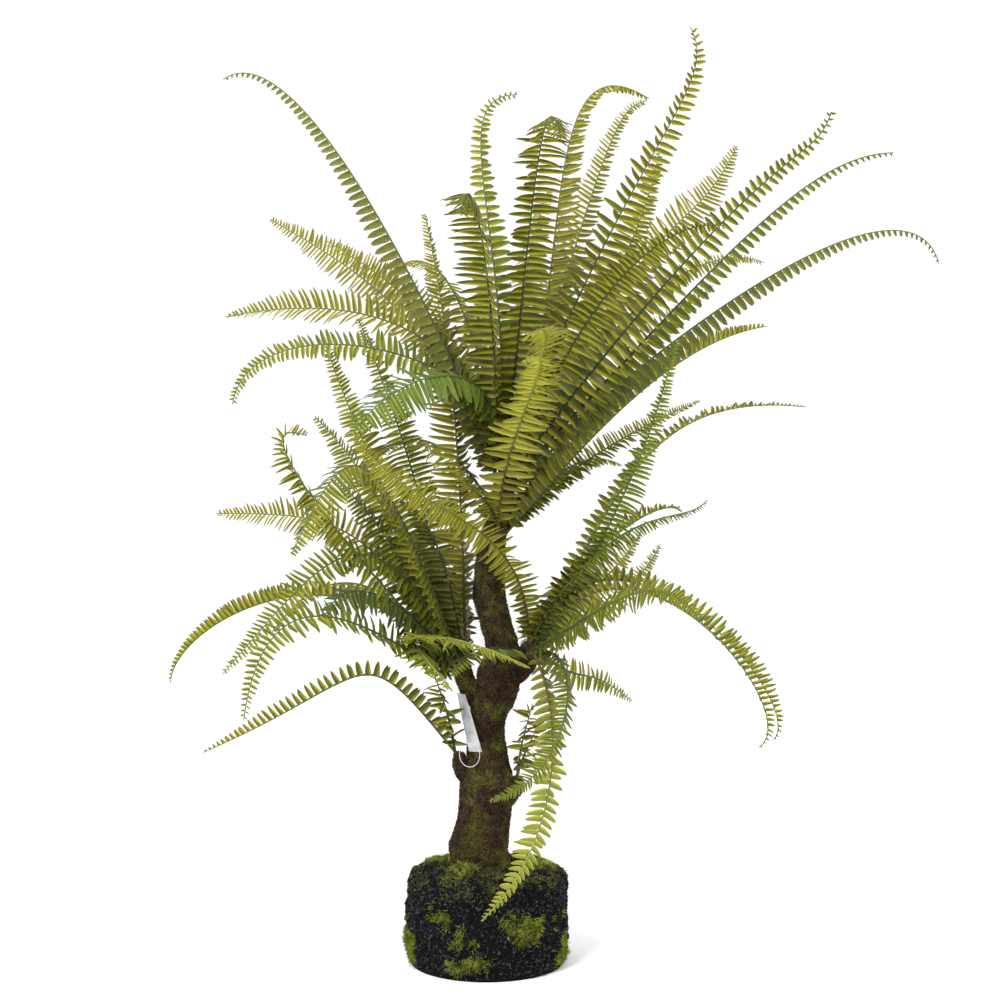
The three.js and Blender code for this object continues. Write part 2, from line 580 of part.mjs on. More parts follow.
// One leaflet, as the point it reaches. It is made shorter, or left out, where it has no room.
function growLeaflet(frond, station, side) {
  const t = (station + 0.5) / (frond.pairs + 1);
  if (t * frond.length < bareStalk) return null;
  const { ahead, across, above } = frond.frames[station];
  const edge = side > 0 ? frond.left : frond.right;
  const root = edge[station].clone().lerp(edge[station + 1], 0.5);
  const droop = Math.abs(frond.droop);
  const sweep = 0.08 + 0.4 * t * t;
  const way = across.clone().multiplyScalar(side * Math.cos(droop))
    .addScaledVector(above, -Math.sin(droop)).addScaledVector(ahead, sweep).normalize();
  for (const share of [1, 0.75, 0.5, 0.3]) {
    const reach = frond.leaflet * leafletShare(frond, t) * share;
    const point = root.clone().addScaledVector(way, reach);
    const tried = piece([edge[station], edge[station + 1], frond.keel[station], point]);
    const spots = [0.35, 0.7, 1].map((part) => root.clone().lerp(point, part));
    const room = 2.5;
    if (spots.every((spot) => wayOut(spot, room).depth <= 0)
        && hasRoom(tried, frond, station, clearance)) {
      keep({ ...tried, frond, station });
      return point;
    }
  }
  return null;
}

// The blade: a three-sided rib whose two lower sides rise to a point wherever a leaflet grows.
function blade(frond) {
  const { left, right, keel, pairs } = frond;
  const vertices = [...left, ...right, ...keel, frond.heel, frond.point];
  const l = (station) => station;
  const r = (station) => left.length + station;
  const k = (station) => left.length + right.length + station;
  const heel = vertices.length - 2;
  const end = vertices.length - 1;
  const triangles = [l(0), heel, r(0), l(0), k(0), heel, r(0), heel, k(0)];
  const side = (a, b, c, point) => {
    if (!point) return triangles.push(a, b, c);
    const tip = vertices.push(point) - 1;
    return triangles.push(a, b, tip, b, c, tip, c, a, tip);
  };
  for (let station = 0; station < pairs; station += 1) {
    const next = station + 1;
    triangles.push(r(station), r(next), l(next), r(station), l(next), l(station));
    side(l(station), l(next), k(station), frond.leftTips[station]);
    side(r(next), r(station), k(station), frond.rightTips[station]);
    if (next < pairs) {
      triangles.push(l(next), k(next), k(station), r(next), k(station), k(next));
    }
  }
  triangles.push(r(pairs), end, l(pairs), l(pairs), end, k(pairs - 1), end, r(pairs), k(pairs - 1));
  return solid(vertices.flatMap((p) => p.toArray()), triangles);
}

function growFronds() {
  const fronds = readFronds();
  fronds.forEach((frond, i) => layRib(frond, fronds[i - 1]));
  easeApart(fronds);
  fronds.forEach(frameRib);
  fronds.forEach(shapeRib);
  fronds.forEach(keepRib);
  fronds.forEach((frond) => { frond.leftTips = []; frond.rightTips = []; });
  const mostPairs = Math.max(...fronds.map((frond) => frond.pairs));
  for (let station = 0; station < mostPairs; station += 1) {
    for (const frond of fronds.filter(({ pairs }) => station < pairs)) {
      frond.leftTips.push(growLeaflet(frond, station, 1));
      frond.rightTips.push(growLeaflet(frond, station, -1));
    }
  }
  return fronds;
}

// ---- The plant ----
const plant = new THREE.Group();
const leastDetail = 0.06; // slivers left by joining and cutting are closed up to this width

function add(name, body, color, roughness = 0.7) {
  const skin = geometry(body.simplify(leastDetail));
  const mesh = new THREE.Mesh(skin, new THREE.MeshStandardMaterial({ color, roughness }));
  mesh.name = name;
  plant.add(mesh);
}

add('soil_plug', plug(), 0x232526, 0.95);
for (const [name, body] of Object.entries(limbs)) add(name, body, 0x2f251d, 0.95);
add('swing_tag', swingTag(), 0xd8dade, 0.4);

const grown = growFronds();
const counts = {};
grown.filter(({ fused }) => !fused).forEach((frond) => {
  counts[frond.crownName] = (counts[frond.crownName] ?? 0) + 1;
  const body = frond.grows.map(blade).reduce((one, other) => one.add(other));
  const number = String(counts[frond.crownName]).padStart(2, '0');
  add(`frond_${frond.crownName}_${number}`, body, tones[frond.tone]);
});

export default plant;
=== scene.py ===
import math

import bpy
import numpy as np
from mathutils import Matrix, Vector, noise
from mathutils.bvhtree import BVHTree


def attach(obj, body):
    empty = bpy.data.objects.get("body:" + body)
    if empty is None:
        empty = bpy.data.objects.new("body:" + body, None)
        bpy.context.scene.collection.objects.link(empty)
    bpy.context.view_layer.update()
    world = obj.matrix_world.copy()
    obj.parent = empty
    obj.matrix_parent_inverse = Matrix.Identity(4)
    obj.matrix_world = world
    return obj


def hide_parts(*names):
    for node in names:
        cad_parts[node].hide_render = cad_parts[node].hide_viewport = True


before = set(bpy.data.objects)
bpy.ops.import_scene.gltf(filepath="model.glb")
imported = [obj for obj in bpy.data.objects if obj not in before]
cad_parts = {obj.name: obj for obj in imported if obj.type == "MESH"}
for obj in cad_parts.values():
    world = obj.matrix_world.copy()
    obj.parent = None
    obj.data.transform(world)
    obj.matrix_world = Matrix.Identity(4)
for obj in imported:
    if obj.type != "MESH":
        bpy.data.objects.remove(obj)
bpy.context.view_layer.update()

MM = 0.001
scene = bpy.context.scene

# ---- Sizes shared with the part's source ----
CLEARANCE = 0.35
PLUG_HEIGHT = 110
PLUG_RADIUS = 93
PLUG_RIM_ROUND = 14
PLUG_BULGE = 2
BARE_STALK = 26
SOCKET_SPACING = 5.2
FOOT_HALF_SIZE = 1.9

# Stations of the trunk and the boughs: x, y, z and radius.
TRUNK_STATIONS = [
    (-8, 0, PLUG_HEIGHT + CLEARANCE, 33), (-9, 0, 144, 32), (-4, 0, 171, 29.5), (0, 0, 211, 30.5),
    (1, 0, 234, 24), (2, 0, 259, 18.5), (3, 0, 292, 18.5), (11, 0, 320, 26), (15, 0, 345, 22.5),
    (18, 0, 369, 18.5), (10, 0, 397, 17.5), (3, 0, 428, 18), (3, 0, 462, 16.5), (10, 0, 506, 13.5),
    (20, 0, 559, 12.5),
]
BOUGH_STATIONS = {
    "bough_left": [(3, 4, 292, 12), (-12, 8, 308, 11.5), (-24, 9, 325, 11), (-29, 8, 341, 10.5)],
    "bough_right": [(12, 0, 325, 15), (32, -2, 339, 13.5), (45, -4, 352, 12.5), (50, -5, 365, 12)],
    "stub_left": [(0, -2, 202, 10), (-20, -5, 214, 9.5), (-30, -6, 228, 8.5), (-32, -6, 241, 7.5)],
    "stub_right": [(2, -2, 181, 10), (22, -4, 191, 9), (32, -4, 202, 8), (35, -4, 212, 7)],
}

# Where the fronds spring from: the limb, the middle of its dome, the dome's radius, and on a collar
# the step in height from foot to foot.
CROWNS = {
    "top": ("trunk", (20, 0, 559), 12.5, None),
    "mid": ("trunk", (11, 0, 511), 13.5, 2.5),
    "left": ("bough_left", (-29, 8, 341), 10.5, None),
    "right": ("bough_right", (50, -5, 365), 12, None),
    "stub_left": ("stub_left", (-32, -6, 241), 7.5, None),
    "stub_right": ("stub_right", (35, -4, 212), 7, None),
}

# The fronds of each crown, numbered from 1 through all the crowns. Each row says where a frond's tip
# is, how steeply it leaves the crown and reaches its tip (degrees above level), how far each of these
# headings turns sideways from the straight way to the tip, how long its two bends are as shares of its
# reach, how long its leaflets are, from which share of its length on they get shorter, how far the
# blade is rolled with its upper side to the front, how far the leaflets droop from the blade (raised
# where negative), and its tone.
FROND_TABLE = {
    # tip, launch, land, sway, turn, bends, leaflet, full, roll, droop, tone
    "top": [
        ((-292, -60, 1012), 72, -36, 0, 0, (0.22, 0.21), 21, 0.5, 0, 76, "grey"),
        ((-262, 140, 869), 59, 27, 0, 0, (0.5, 0.5), 24, 0.75, 80, 10, "yellow"),
        ((-196, 170, 844), 65, 25, 0, 0, (0.5, 0.45), 24, 0.7, 70, 10, "yellow"),
        ((-307, 60, 751), 81, -11, 0, 0, (0.52, 0.37), 25, 0.75, 50, -35, "yellow"),
        ((-285, -60, 652), 94, -80, 0, 0, (0.45, 0.38), 29, 0.4, 50, -15, "leaf"),
        ((-26, -190, 854), 86, -65, 0, 0, (0.6, 0.3), 30, 0.85, 25, 32, "olive"),
        ((35, 80, 1011), 96, 0, 60, -79, (0.59, 0.21), 29, 0.3, -40, 10, "leaf"),
        ((78, -200, 933), 80, -60, 20, 0, (0.6, 0.3), 32, 0.85, -20, 25, "olive"),
        ((187, 40, 1002), 69, -30, 0, 0, (0.5, 0.35), 28, 0.55, 0, 45, "yellow"),
        ((193, 170, 1014), 68, 16, 0, 0, (0.94, 0.1), 27, 0.45, 60, 10, "yellow"),
        ((229, -20, 1075), 69, 120, 0, 0, (0.75, 0.14), 36, 0.42, -60, 10, "leaf"),
        ((205, 110, 948), 58, 76, 0, 0, (0.4, 0.35), 28, 0.6, 60, 10, "leaf"),
        ((298, 120, 955), 60, 61, 0, 0, (0.83, 0.3), 26, 0.8, 70, 10, "yellow"),
        ((374, -120, 970), 52, 71, 0, 0, (0.95, 0.13), 30, 0.3, -80, 8, "olive"),
        ((456, -40, 933), 46, 0, 0, 0, (0.57, 0.18), 25, 0.3, -10, 76, "olive"),
        ((521, 20, 812), 44, -73, 0, 0, (0.46, 0.23), 21, 0.4, 0, 76, "grey"),
        ((255, -150, 846), 68, -8, 0, 0, (0.3, 0.3), 28, 0.6, -50, 15, "olive"),
        ((336, 160, 818), 57, -16, 0, 0, (0.35, 0.3), 22, 0.5, 60, 10, "leaf"),
        ((38, -190, 723), 68, -35, 35, -65, (0.55, 0.3), 27, 0.75, 0, 10, "lime"),
        ((-144, -160, 621), 90, -53, 0, 0, (0.75, 0.32), 31, 0.8, 35, 10, "bright"),
        ((78, 260, 913), 74, 20, 0, 0, (0.4, 0.3), 28, 0.5, 0, 15, "leaf"),
        ((-120, 230, 810), 66, -20, 0, 0, (0.5, 0.4), 26, 0.5, 0, 20, "leaf"),
        ((150, 280, 810), 62, -25, 0, 0, (0.5, 0.4), 28, 0.5, 0, 20, "olive"),
        ((-30, 300, 711), 66, -50, 0, 0, (0.6, 0.45), 26, 0.5, 0, 20, "leaf"),
        ((200, 260, 691), 56, -50, 0, 0, (0.5, 0.4), 26, 0.5, 0, 25, "olive"),
    ],
    "mid": [
        ((328, 60, 740), 48, 8, 0, 0, (0.35, 0.3), 22, 0.7, 0, -72, "leaf"),
        ((277, 190, 790), 57, 31, 0, 0, (0.35, 0.35), 28, 0.5, 70, 10, "yellow"),
        ((257, 130, 651), 40, 19, 0, 0, (0.35, 0.35), 16, 0.5, 40, -30, "leaf"),
        ((160, 80, 575), 48, -28, 0, 0, (0.4, 0.35), 18, 0.5, 30, 15, "leaf"),
        ((38, -230, 701), 80, -25, 0, -66, (0.4, 0.25), 30, 0.6, 0, 10, "lime"),
        ((-31, -100, 586), 62, 60, 0, 0, (0.35, 0.3), 18, 0.6, 0, 10, "leaf"),
        ((60, 250, 611), 50, -45, 0, 0, (0.5, 0.4), 26, 0.5, 0, 20, "olive"),
        ((-150, 200, 571), 50, -35, 0, 0, (0.5, 0.4), 24, 0.5, 0, 20, "leaf"),
    ],
    "left": [
        ((-73, 60, 871), 88, 71, 0, 0, (0.35, 0.35), 29, 0.6, 0, 10, "yellow"),
        ((-197, 120, 726), 64, 68, 0, 0, (0.33, 0.33), 25, 0.6, 60, 10, "leaf"),
        ((-160, 190, 750), 67, 52, 0, 0, (0.35, 0.35), 24, 0.6, 40, 10, "olive"),
        ((-199, -90, 618), 46, 199, 0, 0, (0.79, 0.25), 24, 0.85, 40, 10, "leaf"),
        ((-196, -30, 638), 67, 46, 0, 0, (0.35, 0.35), 22, 0.75, 60, 10, "leaf"),
        ((-211, -150, 491), 66, -60, 0, 0, (1.15, 0.6), 28, 0.8, 20, 15, "leaf"),
        ((-317, 40, 521), 56, -1, 0, 0, (0.6, 0.45), 25, 0.7, 50, -20, "yellow"),
        ((-170, -60, 569), 62, 44, 0, 0, (0.35, 0.35), 24, 0.6, 70, 10, "olive"),
        ((-98, -80, 546), 78, 15, 0, 0, (0.5, 0.25), 24, 0.6, 10, 15, "dark"),
        ((-370, 20, 324), 51, -89, 0, 0, (0.63, 0.2), 16, 0.7, 0, -74, "leaf"),
        ((-291, -120, 356), 60, -46, 0, 0, (0.8, 0.68), 20, 0.65, 50, -15, "leaf"),
        ((-260, -190, 317), 5, -80, 0, 0, (0.2, 0.75), 20, 0.65, 45, -25, "leaf"),
        ((-182, -100, 412), 50, -67, 0, 0, (0.62, 0.35), 29, 0.75, 30, 15, "dark"),
        ((47, -150, 368), 25, -22, -96, 39, (0.65, 0.68), 25, 0.6, 30, 10, "lime"),
        ((-38, -110, 335), 35, -35, -60, 45, (0.75, 0.6), 20, 0.6, 0, 10, "lime"),
        ((-180, 230, 430), 48, -50, 0, 0, (0.6, 0.45), 25, 0.5, 0, 20, "leaf"),
        ((-60, 280, 490), 58, -45, 0, 0, (0.55, 0.45), 25, 0.5, 0, 20, "olive"),
        ((-266, 150, 365), 46, -50, 0, 0, (0.6, 0.45), 23, 0.5, 0, 20, "leaf"),
    ],
    "right": [
        ((-143, -170, 625), 89, 54, 0, 0, (0.45, 0.36), 25, 0.75, -60, 30, "lime"),
        ((-40, -120, 352), 10, -45, 0, 0, (0.4, 0.35), 21, 0.6, 0, 10, "olive"),
        ((209, -110, 726), 55, 76, 0, 0, (0.35, 0.35), 21, 0.5, -40, 20, "bright"),
        ((372, 40, 646), 61, -6, 0, 0, (0.5, 0.45), 22, 0.5, 0, -40, "leaf"),
        ((240, -142, 550), 57, 50, 0, 0, (0.76, 0.16), 17, 0.5, -20, 30, "bright"),
        ((219, -60, 531), 71, -47, 0, 0, (0.34, 0.16), 22, 0.75, 0, -40, "leaf"),
        ((187, 130, 495), 38, 54, 0, 0, (0.35, 0.3), 22, 0.5, 60, 10, "yellow"),
        ((214, 190, 471), 15, 49, 0, 0, (0.35, 0.3), 22, 0.5, 50, 10, "yellow"),
        ((298, -150, 280), 57, -146, 0, 0, (0.75, 0.25), 15, 0.8, 20, -60, "leaf"),
        ((322, -80, 275), 66, -137, 0, 0, (0.73, 0.21), 15, 0.8, 20, -60, "leaf"),
        ((227, -200, 427), 25, -45, 0, 0, (0.45, 0.35), 21, 0.6, 50, 0, "leaf"),
        ((174, 90, 291), -35, -36, 0, 0, (0.58, 0.63), 17, 0.5, 80, 8, "leaf"),
        ((3, -150, 221), 10, -8, 68, -62, (0.38, 0.44), 17, 0.7, 0, 30, "leaf"),
        ((-6, -125, 80), -35, -38, 48, -42, (0.35, 0.4), 18, 0.7, 0, 15, "lime"),
        ((141, 240, 380), 40, -50, 0, 0, (0.5, 0.4), 25, 0.5, 0, 20, "leaf"),
        ((92, 250, 330), 20, -55, 0, 0, (0.5, 0.45), 26, 0.5, 0, 20, "olive"),
    ],
    "stub_left": [
        ((-322, -60, 257), 52, -22, 0, 0, (0.66, 0.76), 15, 0.75, 0, -74, "leaf"),
        ((-62, -45, 350), 80, 62, 0, 0, (0.35, 0.3), 17, 0.8, 0, 10, "olive"),
    ],
    "stub_right": [
        ((52, -40, 310), 84, 65, 0, 0, (0.35, 0.3), 16, 0.8, 0, 10, "leaf"),
        ((60, 50, 276), 62, 70, 0, 0, (0.35, 0.3), 16, 0.8, 0, 10, "leaf"),
    ],
}

# Rows that grow from the foot of the row before, counted from 1.
SHARED_FEET = {3, 10, 12, 18, 22, 24, 29, 31, 33, 36, 38, 41, 48, 50, 57, 59, 67, 69, 71}

# Rows that are short twigs with broad, unruly leaflets.
TWIGS = {69, 70, 71}

# Rows whose leaflets are unusually far apart or close together, with the distance.
LEAFLET_GAPS = {1: 12, 4: 9.2, 5: 8.8, 6: 9.5, 7: 12, 8: 9.7, 9: 10, 11: 13, 14: 13, 15: 12.5, 16: 12,
                19: 6.3, 26: 10, 34: 8, 43: 9, 44: 8.5, 45: 10.5, 47: 6.5, 52: 6, 55: 9, 57: 8, 60: 10,
                61: 10, 63: 8, 65: 10.5, 68: 10.5, 69: 9.5, 70: 9.5, 71: 9.5}


# ---- Materials ----
def linear(hex_colour):
    """An sRGB colour such as '#6f7f2e' as linear red, green, blue and alpha."""
    parts = [int(hex_colour[i:i + 2], 16) / 255 for i in (1, 3, 5)]
    return [c / 12.92 if c <= 0.04045 else ((c + 0.055) / 1.055) ** 2.4 for c in parts] + [1.0]


def add_node(tree, kind, inputs=None, **settings):
    """Adds a node with its settings, and gives each named or numbered input a value or a link."""
    node = tree.nodes.new(kind)
    for name, value in settings.items():
        setattr(node, name, value)
    for name, value in (inputs or {}).items():
        if isinstance(value, bpy.types.NodeSocket):
            tree.links.new(value, node.inputs[name])
        else:
            node.inputs[name].default_value = value
    return node


def reckon(tree, operation, *values, clamp=False):
    """A number worked out from values or links."""
    inputs = dict(enumerate(values))
    return add_node(tree, "ShaderNodeMath", inputs, operation=operation, use_clamp=clamp).outputs[0]


def stored(tree, name):
    """A number that the mesh carries on its points."""
    return add_node(tree, "ShaderNodeAttribute", attribute_name=name).outputs["Fac"]


def principled(tree, inputs):
    """The main coat of a material."""
    return add_node(tree, "ShaderNodeBsdfPrincipled", inputs).outputs[0]


def new_material(name):
    """An empty material and its node tree."""
    material = bpy.data.materials.new(name)
    material.use_nodes = True
    material.node_tree.nodes.clear()
    return material, material.node_tree


def blend_colours(tree, share, one, two):
    """A colour that goes from one to two as share goes from 0 to 1."""
    one, two = (linear(c) if isinstance(c, str) else c for c in (one, two))
    return add_node(tree, "ShaderNodeMix", {0: share, 6: one, 7: two}, data_type="RGBA").outputs[2]


def spread(tree, value, low, high):
    """A value stretched so that low becomes 0 and high becomes 1."""
    return add_node(tree, "ShaderNodeMapRange", {0: value, 1: low, 2: high}).outputs[0]


def grain(tree, size, detail=3.0, roughness=0.6):
    """Noise on the object's own coordinates whose patches are size millimetres across."""
    place = add_node(tree, "ShaderNodeTexCoord").outputs["Object"]
    inputs = {"Vector": place, "Scale": 1 / (size * MM), "Detail": detail, "Roughness": roughness}
    return add_node(tree, "ShaderNodeTexNoise", inputs).outputs["Fac"]


def patches(tree, low, high, size, *fineness):
    """The same noise stretched so that low becomes 0 and high becomes 1."""
    return spread(tree, grain(tree, size, *fineness), low, high)


def relief(tree, height, depth, normal=None):
    """A bump of depth millimetres, laid over another where one is given."""
    inputs = {"Height": height, "Distance": depth * MM, "Strength": 1.0}
    if normal:
        inputs["Normal"] = normal
    return add_node(tree, "ShaderNodeBump", inputs).outputs["Normal"]


def surface(tree, shader):
    """Gives the material its surface."""
    add_node(tree, "ShaderNodeOutputMaterial", {"Surface": shader})


def see_through(tree, share, coat, colour):
    """A coat with light of the given colour coming through it by a share."""
    through = add_node(tree, "ShaderNodeBsdfTranslucent", {"Color": colour}).outputs[0]
    return add_node(tree, "ShaderNodeMixShader", {0: share, 1: coat, 2: through}).outputs[0]


PAINTED_SHADE_GREEN = "#1c2610"  # painted shade: the dark green that every leaf darkens to at its frond's foot, deep in the crown
VEINS = 14.0  # side veins along one leaflet, drawn coarser than the real ones so that they show


def leaf_finish(name, blade_colour, painted_edge_light_colour, glow_colour, glow):
    """Dyed polyester fabric with a thin soft coat, hot-pressed: satin, a little lighter towards the frond's
    tip, with painted light along one edge and at the tip of each leaflet, painted shade that darkens it to
    dark green at the frond's foot, with pressed side veins, and lit through by whatever light falls on its
    other side."""
    material, tree = new_material(name)
    across, along, _ = add_node(tree, "ShaderNodeSeparateXYZ", {
        0: add_node(tree, "ShaderNodeUVMap", uv_map="leaflet").outputs[0]}).outputs
    off_middle = reckon(tree, "ABSOLUTE", reckon(tree, "SUBTRACT", across, 0.5))
    # Painted light: edge and tip make one edge and the tip of each leaflet lighter, as where light comes
    # through them; young makes the outer part of the frond a little lighter.
    edge = spread(tree, across, 0.5, 0.12)
    tip = spread(tree, along, 0.8, 1.25)
    reach = stored(tree, "reach")
    young = spread(tree, reach, 0.65, 2.3)
    # Painted shade: darker towards the frond's foot, where the crown is deep.
    painted_foot_shade = spread(tree, reach, 0.4, -0.35)
    young_and_painted_rim_light = reckon(tree, "ADD", young, reckon(tree, "MAXIMUM", edge, tip), clamp=True)
    dye = patches(tree, 0.3, 0.75, 22)
    # The blade's colour runs towards the painted edge light by random dye patches and by the painted light
    # along the edge and tip.
    share = reckon(tree, "MULTIPLY_ADD", dye, 0.35, young_and_painted_rim_light)
    tinted = blend_colours(tree, share, blade_colour, painted_edge_light_colour)
    veins = reckon(tree, "MULTIPLY", reckon(tree, "SUBTRACT", along, off_middle), VEINS * math.pi)
    coat = principled(tree, {
        "Base Color": blend_colours(tree, painted_foot_shade, tinted, PAINTED_SHADE_GREEN), "Roughness": 0.32, "IOR": 1.46,
        "Specular IOR Level": 0.38, "Normal": relief(tree, reckon(tree, "SINE", veins), 0.12)})
    thin = reckon(tree, "MULTIPLY_ADD", young_and_painted_rim_light, 0.25, glow)
    lit = blend_colours(tree, young_and_painted_rim_light, blade_colour, glow_colour)
    surface(tree, see_through(tree, thin, coat, lit))
    return material


def stalk_finish(name, colour, scorch_colour, tip_colour):
    """Moulded polyethylene over wire: a smooth satin stalk, blotched where the dye pooled, and paler
    towards its tip."""
    material, tree = new_material(name)
    pooled = patches(tree, 0.45, 0.7, 14)
    tinted = blend_colours(tree, pooled, colour, scorch_colour)
    paler = blend_colours(tree, spread(tree, stored(tree, "reach"), 0.3, 0.75), tinted, tip_colour)
    surface(tree, principled(tree, {
        "Base Color": paler, "Roughness": 0.5, "IOR": 1.5, "Specular IOR Level": 0.3,
        "Normal": relief(tree, grain(tree, 2.5), 0.15)}))
    return material


def flocked_bark():
    """Coconut fibre dust glued on a core: near-black brown crumbs, rust where they wore thin, and olive
    moss powder where the mesh says so. Matt, with crumbs about 1.5 mm across and a faint golden fuzz where
    it is seen edge on."""
    material, tree = new_material("coconut_flock_bark")
    crumbs = patches(tree, 0.38, 0.64, 2.6, 5.0, 0.75)
    worn = patches(tree, 0.5, 0.7, 9, 5.0, 0.7)
    patchy = patches(tree, 0.36, 0.6, 3.6, 5.0, 0.75)
    mottled = reckon(tree, "MULTIPLY", stored(tree, "moss"), patchy)
    brown = blend_colours(tree, crumbs, "#090705", "#45352a")
    rusty = blend_colours(tree, worn, brown, "#3d2b1f")
    colour = blend_colours(tree, mottled, rusty, "#5d5a22")
    bump = relief(tree, grain(tree, 1.8, 3.0, 0.8), 1.4, relief(tree, grain(tree, 5), 2.0))
    surface(tree, principled(tree, {
        "Base Color": colour, "Roughness": 0.95, "Specular IOR Level": 0.12, "Normal": bump,
        "Sheen Weight": 0.45, "Sheen Roughness": 0.4, "Sheen Tint": linear("#a08a45")}))
    return material


def own_shade(tree, low=0.0, high=1.0):
    """The shade that each strewn crumb or fibre has of its own."""
    return spread(tree, stored(tree, "shade"), low, high)


def crumb_finish(name, dark, light, gloss):
    """Crushed and dyed grit: each crumb its own shade, dull but for a gleam on the freshly broken ones."""
    material, tree = new_material(name)
    fresh = spread(tree, own_shade(tree), 0.55, 0.95)
    dull = 0.95
    rough = reckon(tree, "MULTIPLY_ADD", fresh, gloss - dull, dull)
    surface(tree, principled(tree, {
        "Base Color": blend_colours(tree, own_shade(tree, 0.6, 1.0), dark, light), "Roughness": rough,
        "Specular IOR Level": 0.2, "Normal": relief(tree, grain(tree, 0.9), 0.3)}))
    return material


def moss_finish(name, root, tip, dead):
    """Dyed nylon moss fibre: soft and matt, patchy from tuft to tuft, with dead brown wisps between."""
    material, tree = new_material(name)
    patch = patches(tree, 0.35, 0.65, 9)
    green = blend_colours(tree, patch, root, tip)
    wisps = patches(tree, 0.5, 0.62, 13, 2.0)
    withered = reckon(tree, "MULTIPLY", wisps, own_shade(tree, 0.2, 0.5))
    colour = blend_colours(tree, withered, green, dead)
    coat = principled(tree, {"Base Color": colour, "Roughness": 0.75, "Specular IOR Level": 0.25})
    surface(tree, see_through(tree, 0.3, coat, colour))
    return material


def card_finish():
    """Coated card, left blank: cool white with a silvery gleam and slight scuffs."""
    material, tree = new_material("coated_card_blank")
    scuff = patches(tree, 0.35, 0.7, 12)
    surface(tree, principled(tree, {
        "Base Color": blend_colours(tree, scuff, "#989a9b", "#bcbec0"), "Roughness": 0.25,
        "IOR": 1.5, "Normal": relief(tree, grain(tree, 20), 0.2)}))
    return material


def string_finish():
    """Twisted nylon: white, with a soft sheen."""
    material, tree = new_material("nylon_string")
    twist = patches(tree, 0.3, 0.7, 1.5)
    surface(tree, principled(tree, {
        "Base Color": blend_colours(tree, twist, "#cfcfca", "#f1f1ee"), "Roughness": 0.5,
        "Normal": relief(tree, twist, 0.1)}))
    return material


# Each tone: upper side and the painted light along its edge, under side and the painted light along its
# edge, the glow of light through it, the stalk and its blotches.
TONES = {
    "olive": ("#45551d", "#a6aa3e", "#404818", "#acaa36", "#f2e832", "#141a0e", "#2b2d17"),
    "leaf": ("#5c6a24", "#b4b23e", "#606422", "#bcb43a", "#f6ec38", "#39471f", "#4a4322"),
    "yellow": ("#6a702c", "#bab442", "#6f702c", "#c6bc3e", "#f8ee3c", "#4b4726", "#6a4428"),
    "grey": ("#5c6632", "#9fa044", "#606032", "#a89e3e", "#e2d83a", "#3d4c33", "#333f2b"),
    "lime": ("#868f35", "#cacb55", "#878935", "#cdca50", "#f4f04c", "#54491f", "#5c4026"),
    "bright": ("#526a28", "#a0ad45", "#5b6b2a", "#aab042", "#dce140", "#47562c", "#54472a"),
    "dark": ("#3b4920", "#7b8440", "#434921", "#898637", "#b4b833", "#1d2616", "#2b2919"),
}
leaf_materials = {}
stalk_materials = {}
for tone, (top, top_painted_edge_light, under, under_painted_edge_light, glow_colour, stalk, blotch) in TONES.items():
    leaf_materials[tone] = (
        leaf_finish(f"pressed_polyester_leaf_{tone}_upper", top, top_painted_edge_light, glow_colour, 0.3),
        leaf_finish(f"pressed_polyester_leaf_{tone}_under", under, under_painted_edge_light, glow_colour, 0.3),
    )
    stalk_materials[tone] = stalk_finish(f"moulded_stalk_{tone}", stalk, blotch, top)


# ---- Meshes ----
def make_piece(name, points, faces, materials, slots=None, smooth=True):
    """A mesh object at the origin from points in millimetres, with a material number for each face."""
    mesh = bpy.data.meshes.new(name)
    mesh.from_pydata((np.asarray(points) * MM).tolist(), [], faces)
    for material in materials:
        mesh.materials.append(material)
    if slots is not None:
        mesh.polygons.foreach_set("material_index", np.asarray(slots, dtype=np.int32))
    mesh.polygons.foreach_set("use_smooth", np.full(len(mesh.polygons), smooth))
    mesh.update()
    piece = bpy.data.objects.new(name, mesh)
    scene.collection.objects.link(piece)
    return piece


def ring_faces(rings, sides, looped=False):
    """The faces from each ring of points to the next, and from the last to the first where looped."""
    faces = []
    for ring in range(rings if looped else rings - 1):
        here, there = sides * ring, sides * ((ring + 1) % rings)
        faces += [(here + k, here + (k + 1) % sides, there + (k + 1) % sides, there + k)
                  for k in range(sides)]
    return faces


def tube_faces(rings, sides):
    """The faces of a tube of rings with its two ends closed."""
    last = sides * (rings - 1)
    return ring_faces(rings, sides) + [tuple(range(sides))[::-1], tuple(range(last, last + sides))]


def note_on_points(piece, **values):
    """Stores a number for each of the piece's points under each of the names given."""
    for name, numbers in values.items():
        piece.data.attributes.new(name, "FLOAT", "POINT").data.foreach_set("value", numbers)


def settle(piece, slot, *nodes):
    """Says what the piece rides on and which solids it stands for; the slot it is given is not used."""
    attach(piece, "root")
    if nodes:
        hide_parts(*nodes)


def run_along(points):
    """How far along a line each of its points is."""
    return np.concatenate([[0], np.cumsum(np.linalg.norm(np.diff(points, axis=0), axis=1))])


def unit(vector):
    """The vector's direction."""
    return vector / np.linalg.norm(vector)


def heading(azimuth, rise):
    """The direction at these degrees round the plant and above level."""
    a, r = math.radians(azimuth), math.radians(rise)
    return np.array([math.cos(r) * math.cos(a), math.cos(r) * math.sin(a), math.sin(r)])


# ---- Where each frond grows ----
def spread_sockets(sockets, radius):
    """Moves the feet on one crown apart until they have room."""
    room = SOCKET_SPACING / radius
    for _ in range(200):
        for i in range(len(sockets)):
            for j in range(i):
                apart = sockets[i] - sockets[j]
                distance = np.linalg.norm(apart)
                if distance < room:
                    apart = apart * (room - distance) / 2 / max(distance, 1e-6)
                    sockets[i] = unit(sockets[i] + apart)
                    sockets[j] = unit(sockets[j] - apart)


limb_skins = {}
for limb_name in ("trunk", *BOUGH_STATIONS):
    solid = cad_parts[limb_name].data
    limb_skins[limb_name] = BVHTree.FromPolygons(
        [vertex.co.copy() for vertex in solid.vertices], [tuple(p.vertices) for p in solid.polygons])


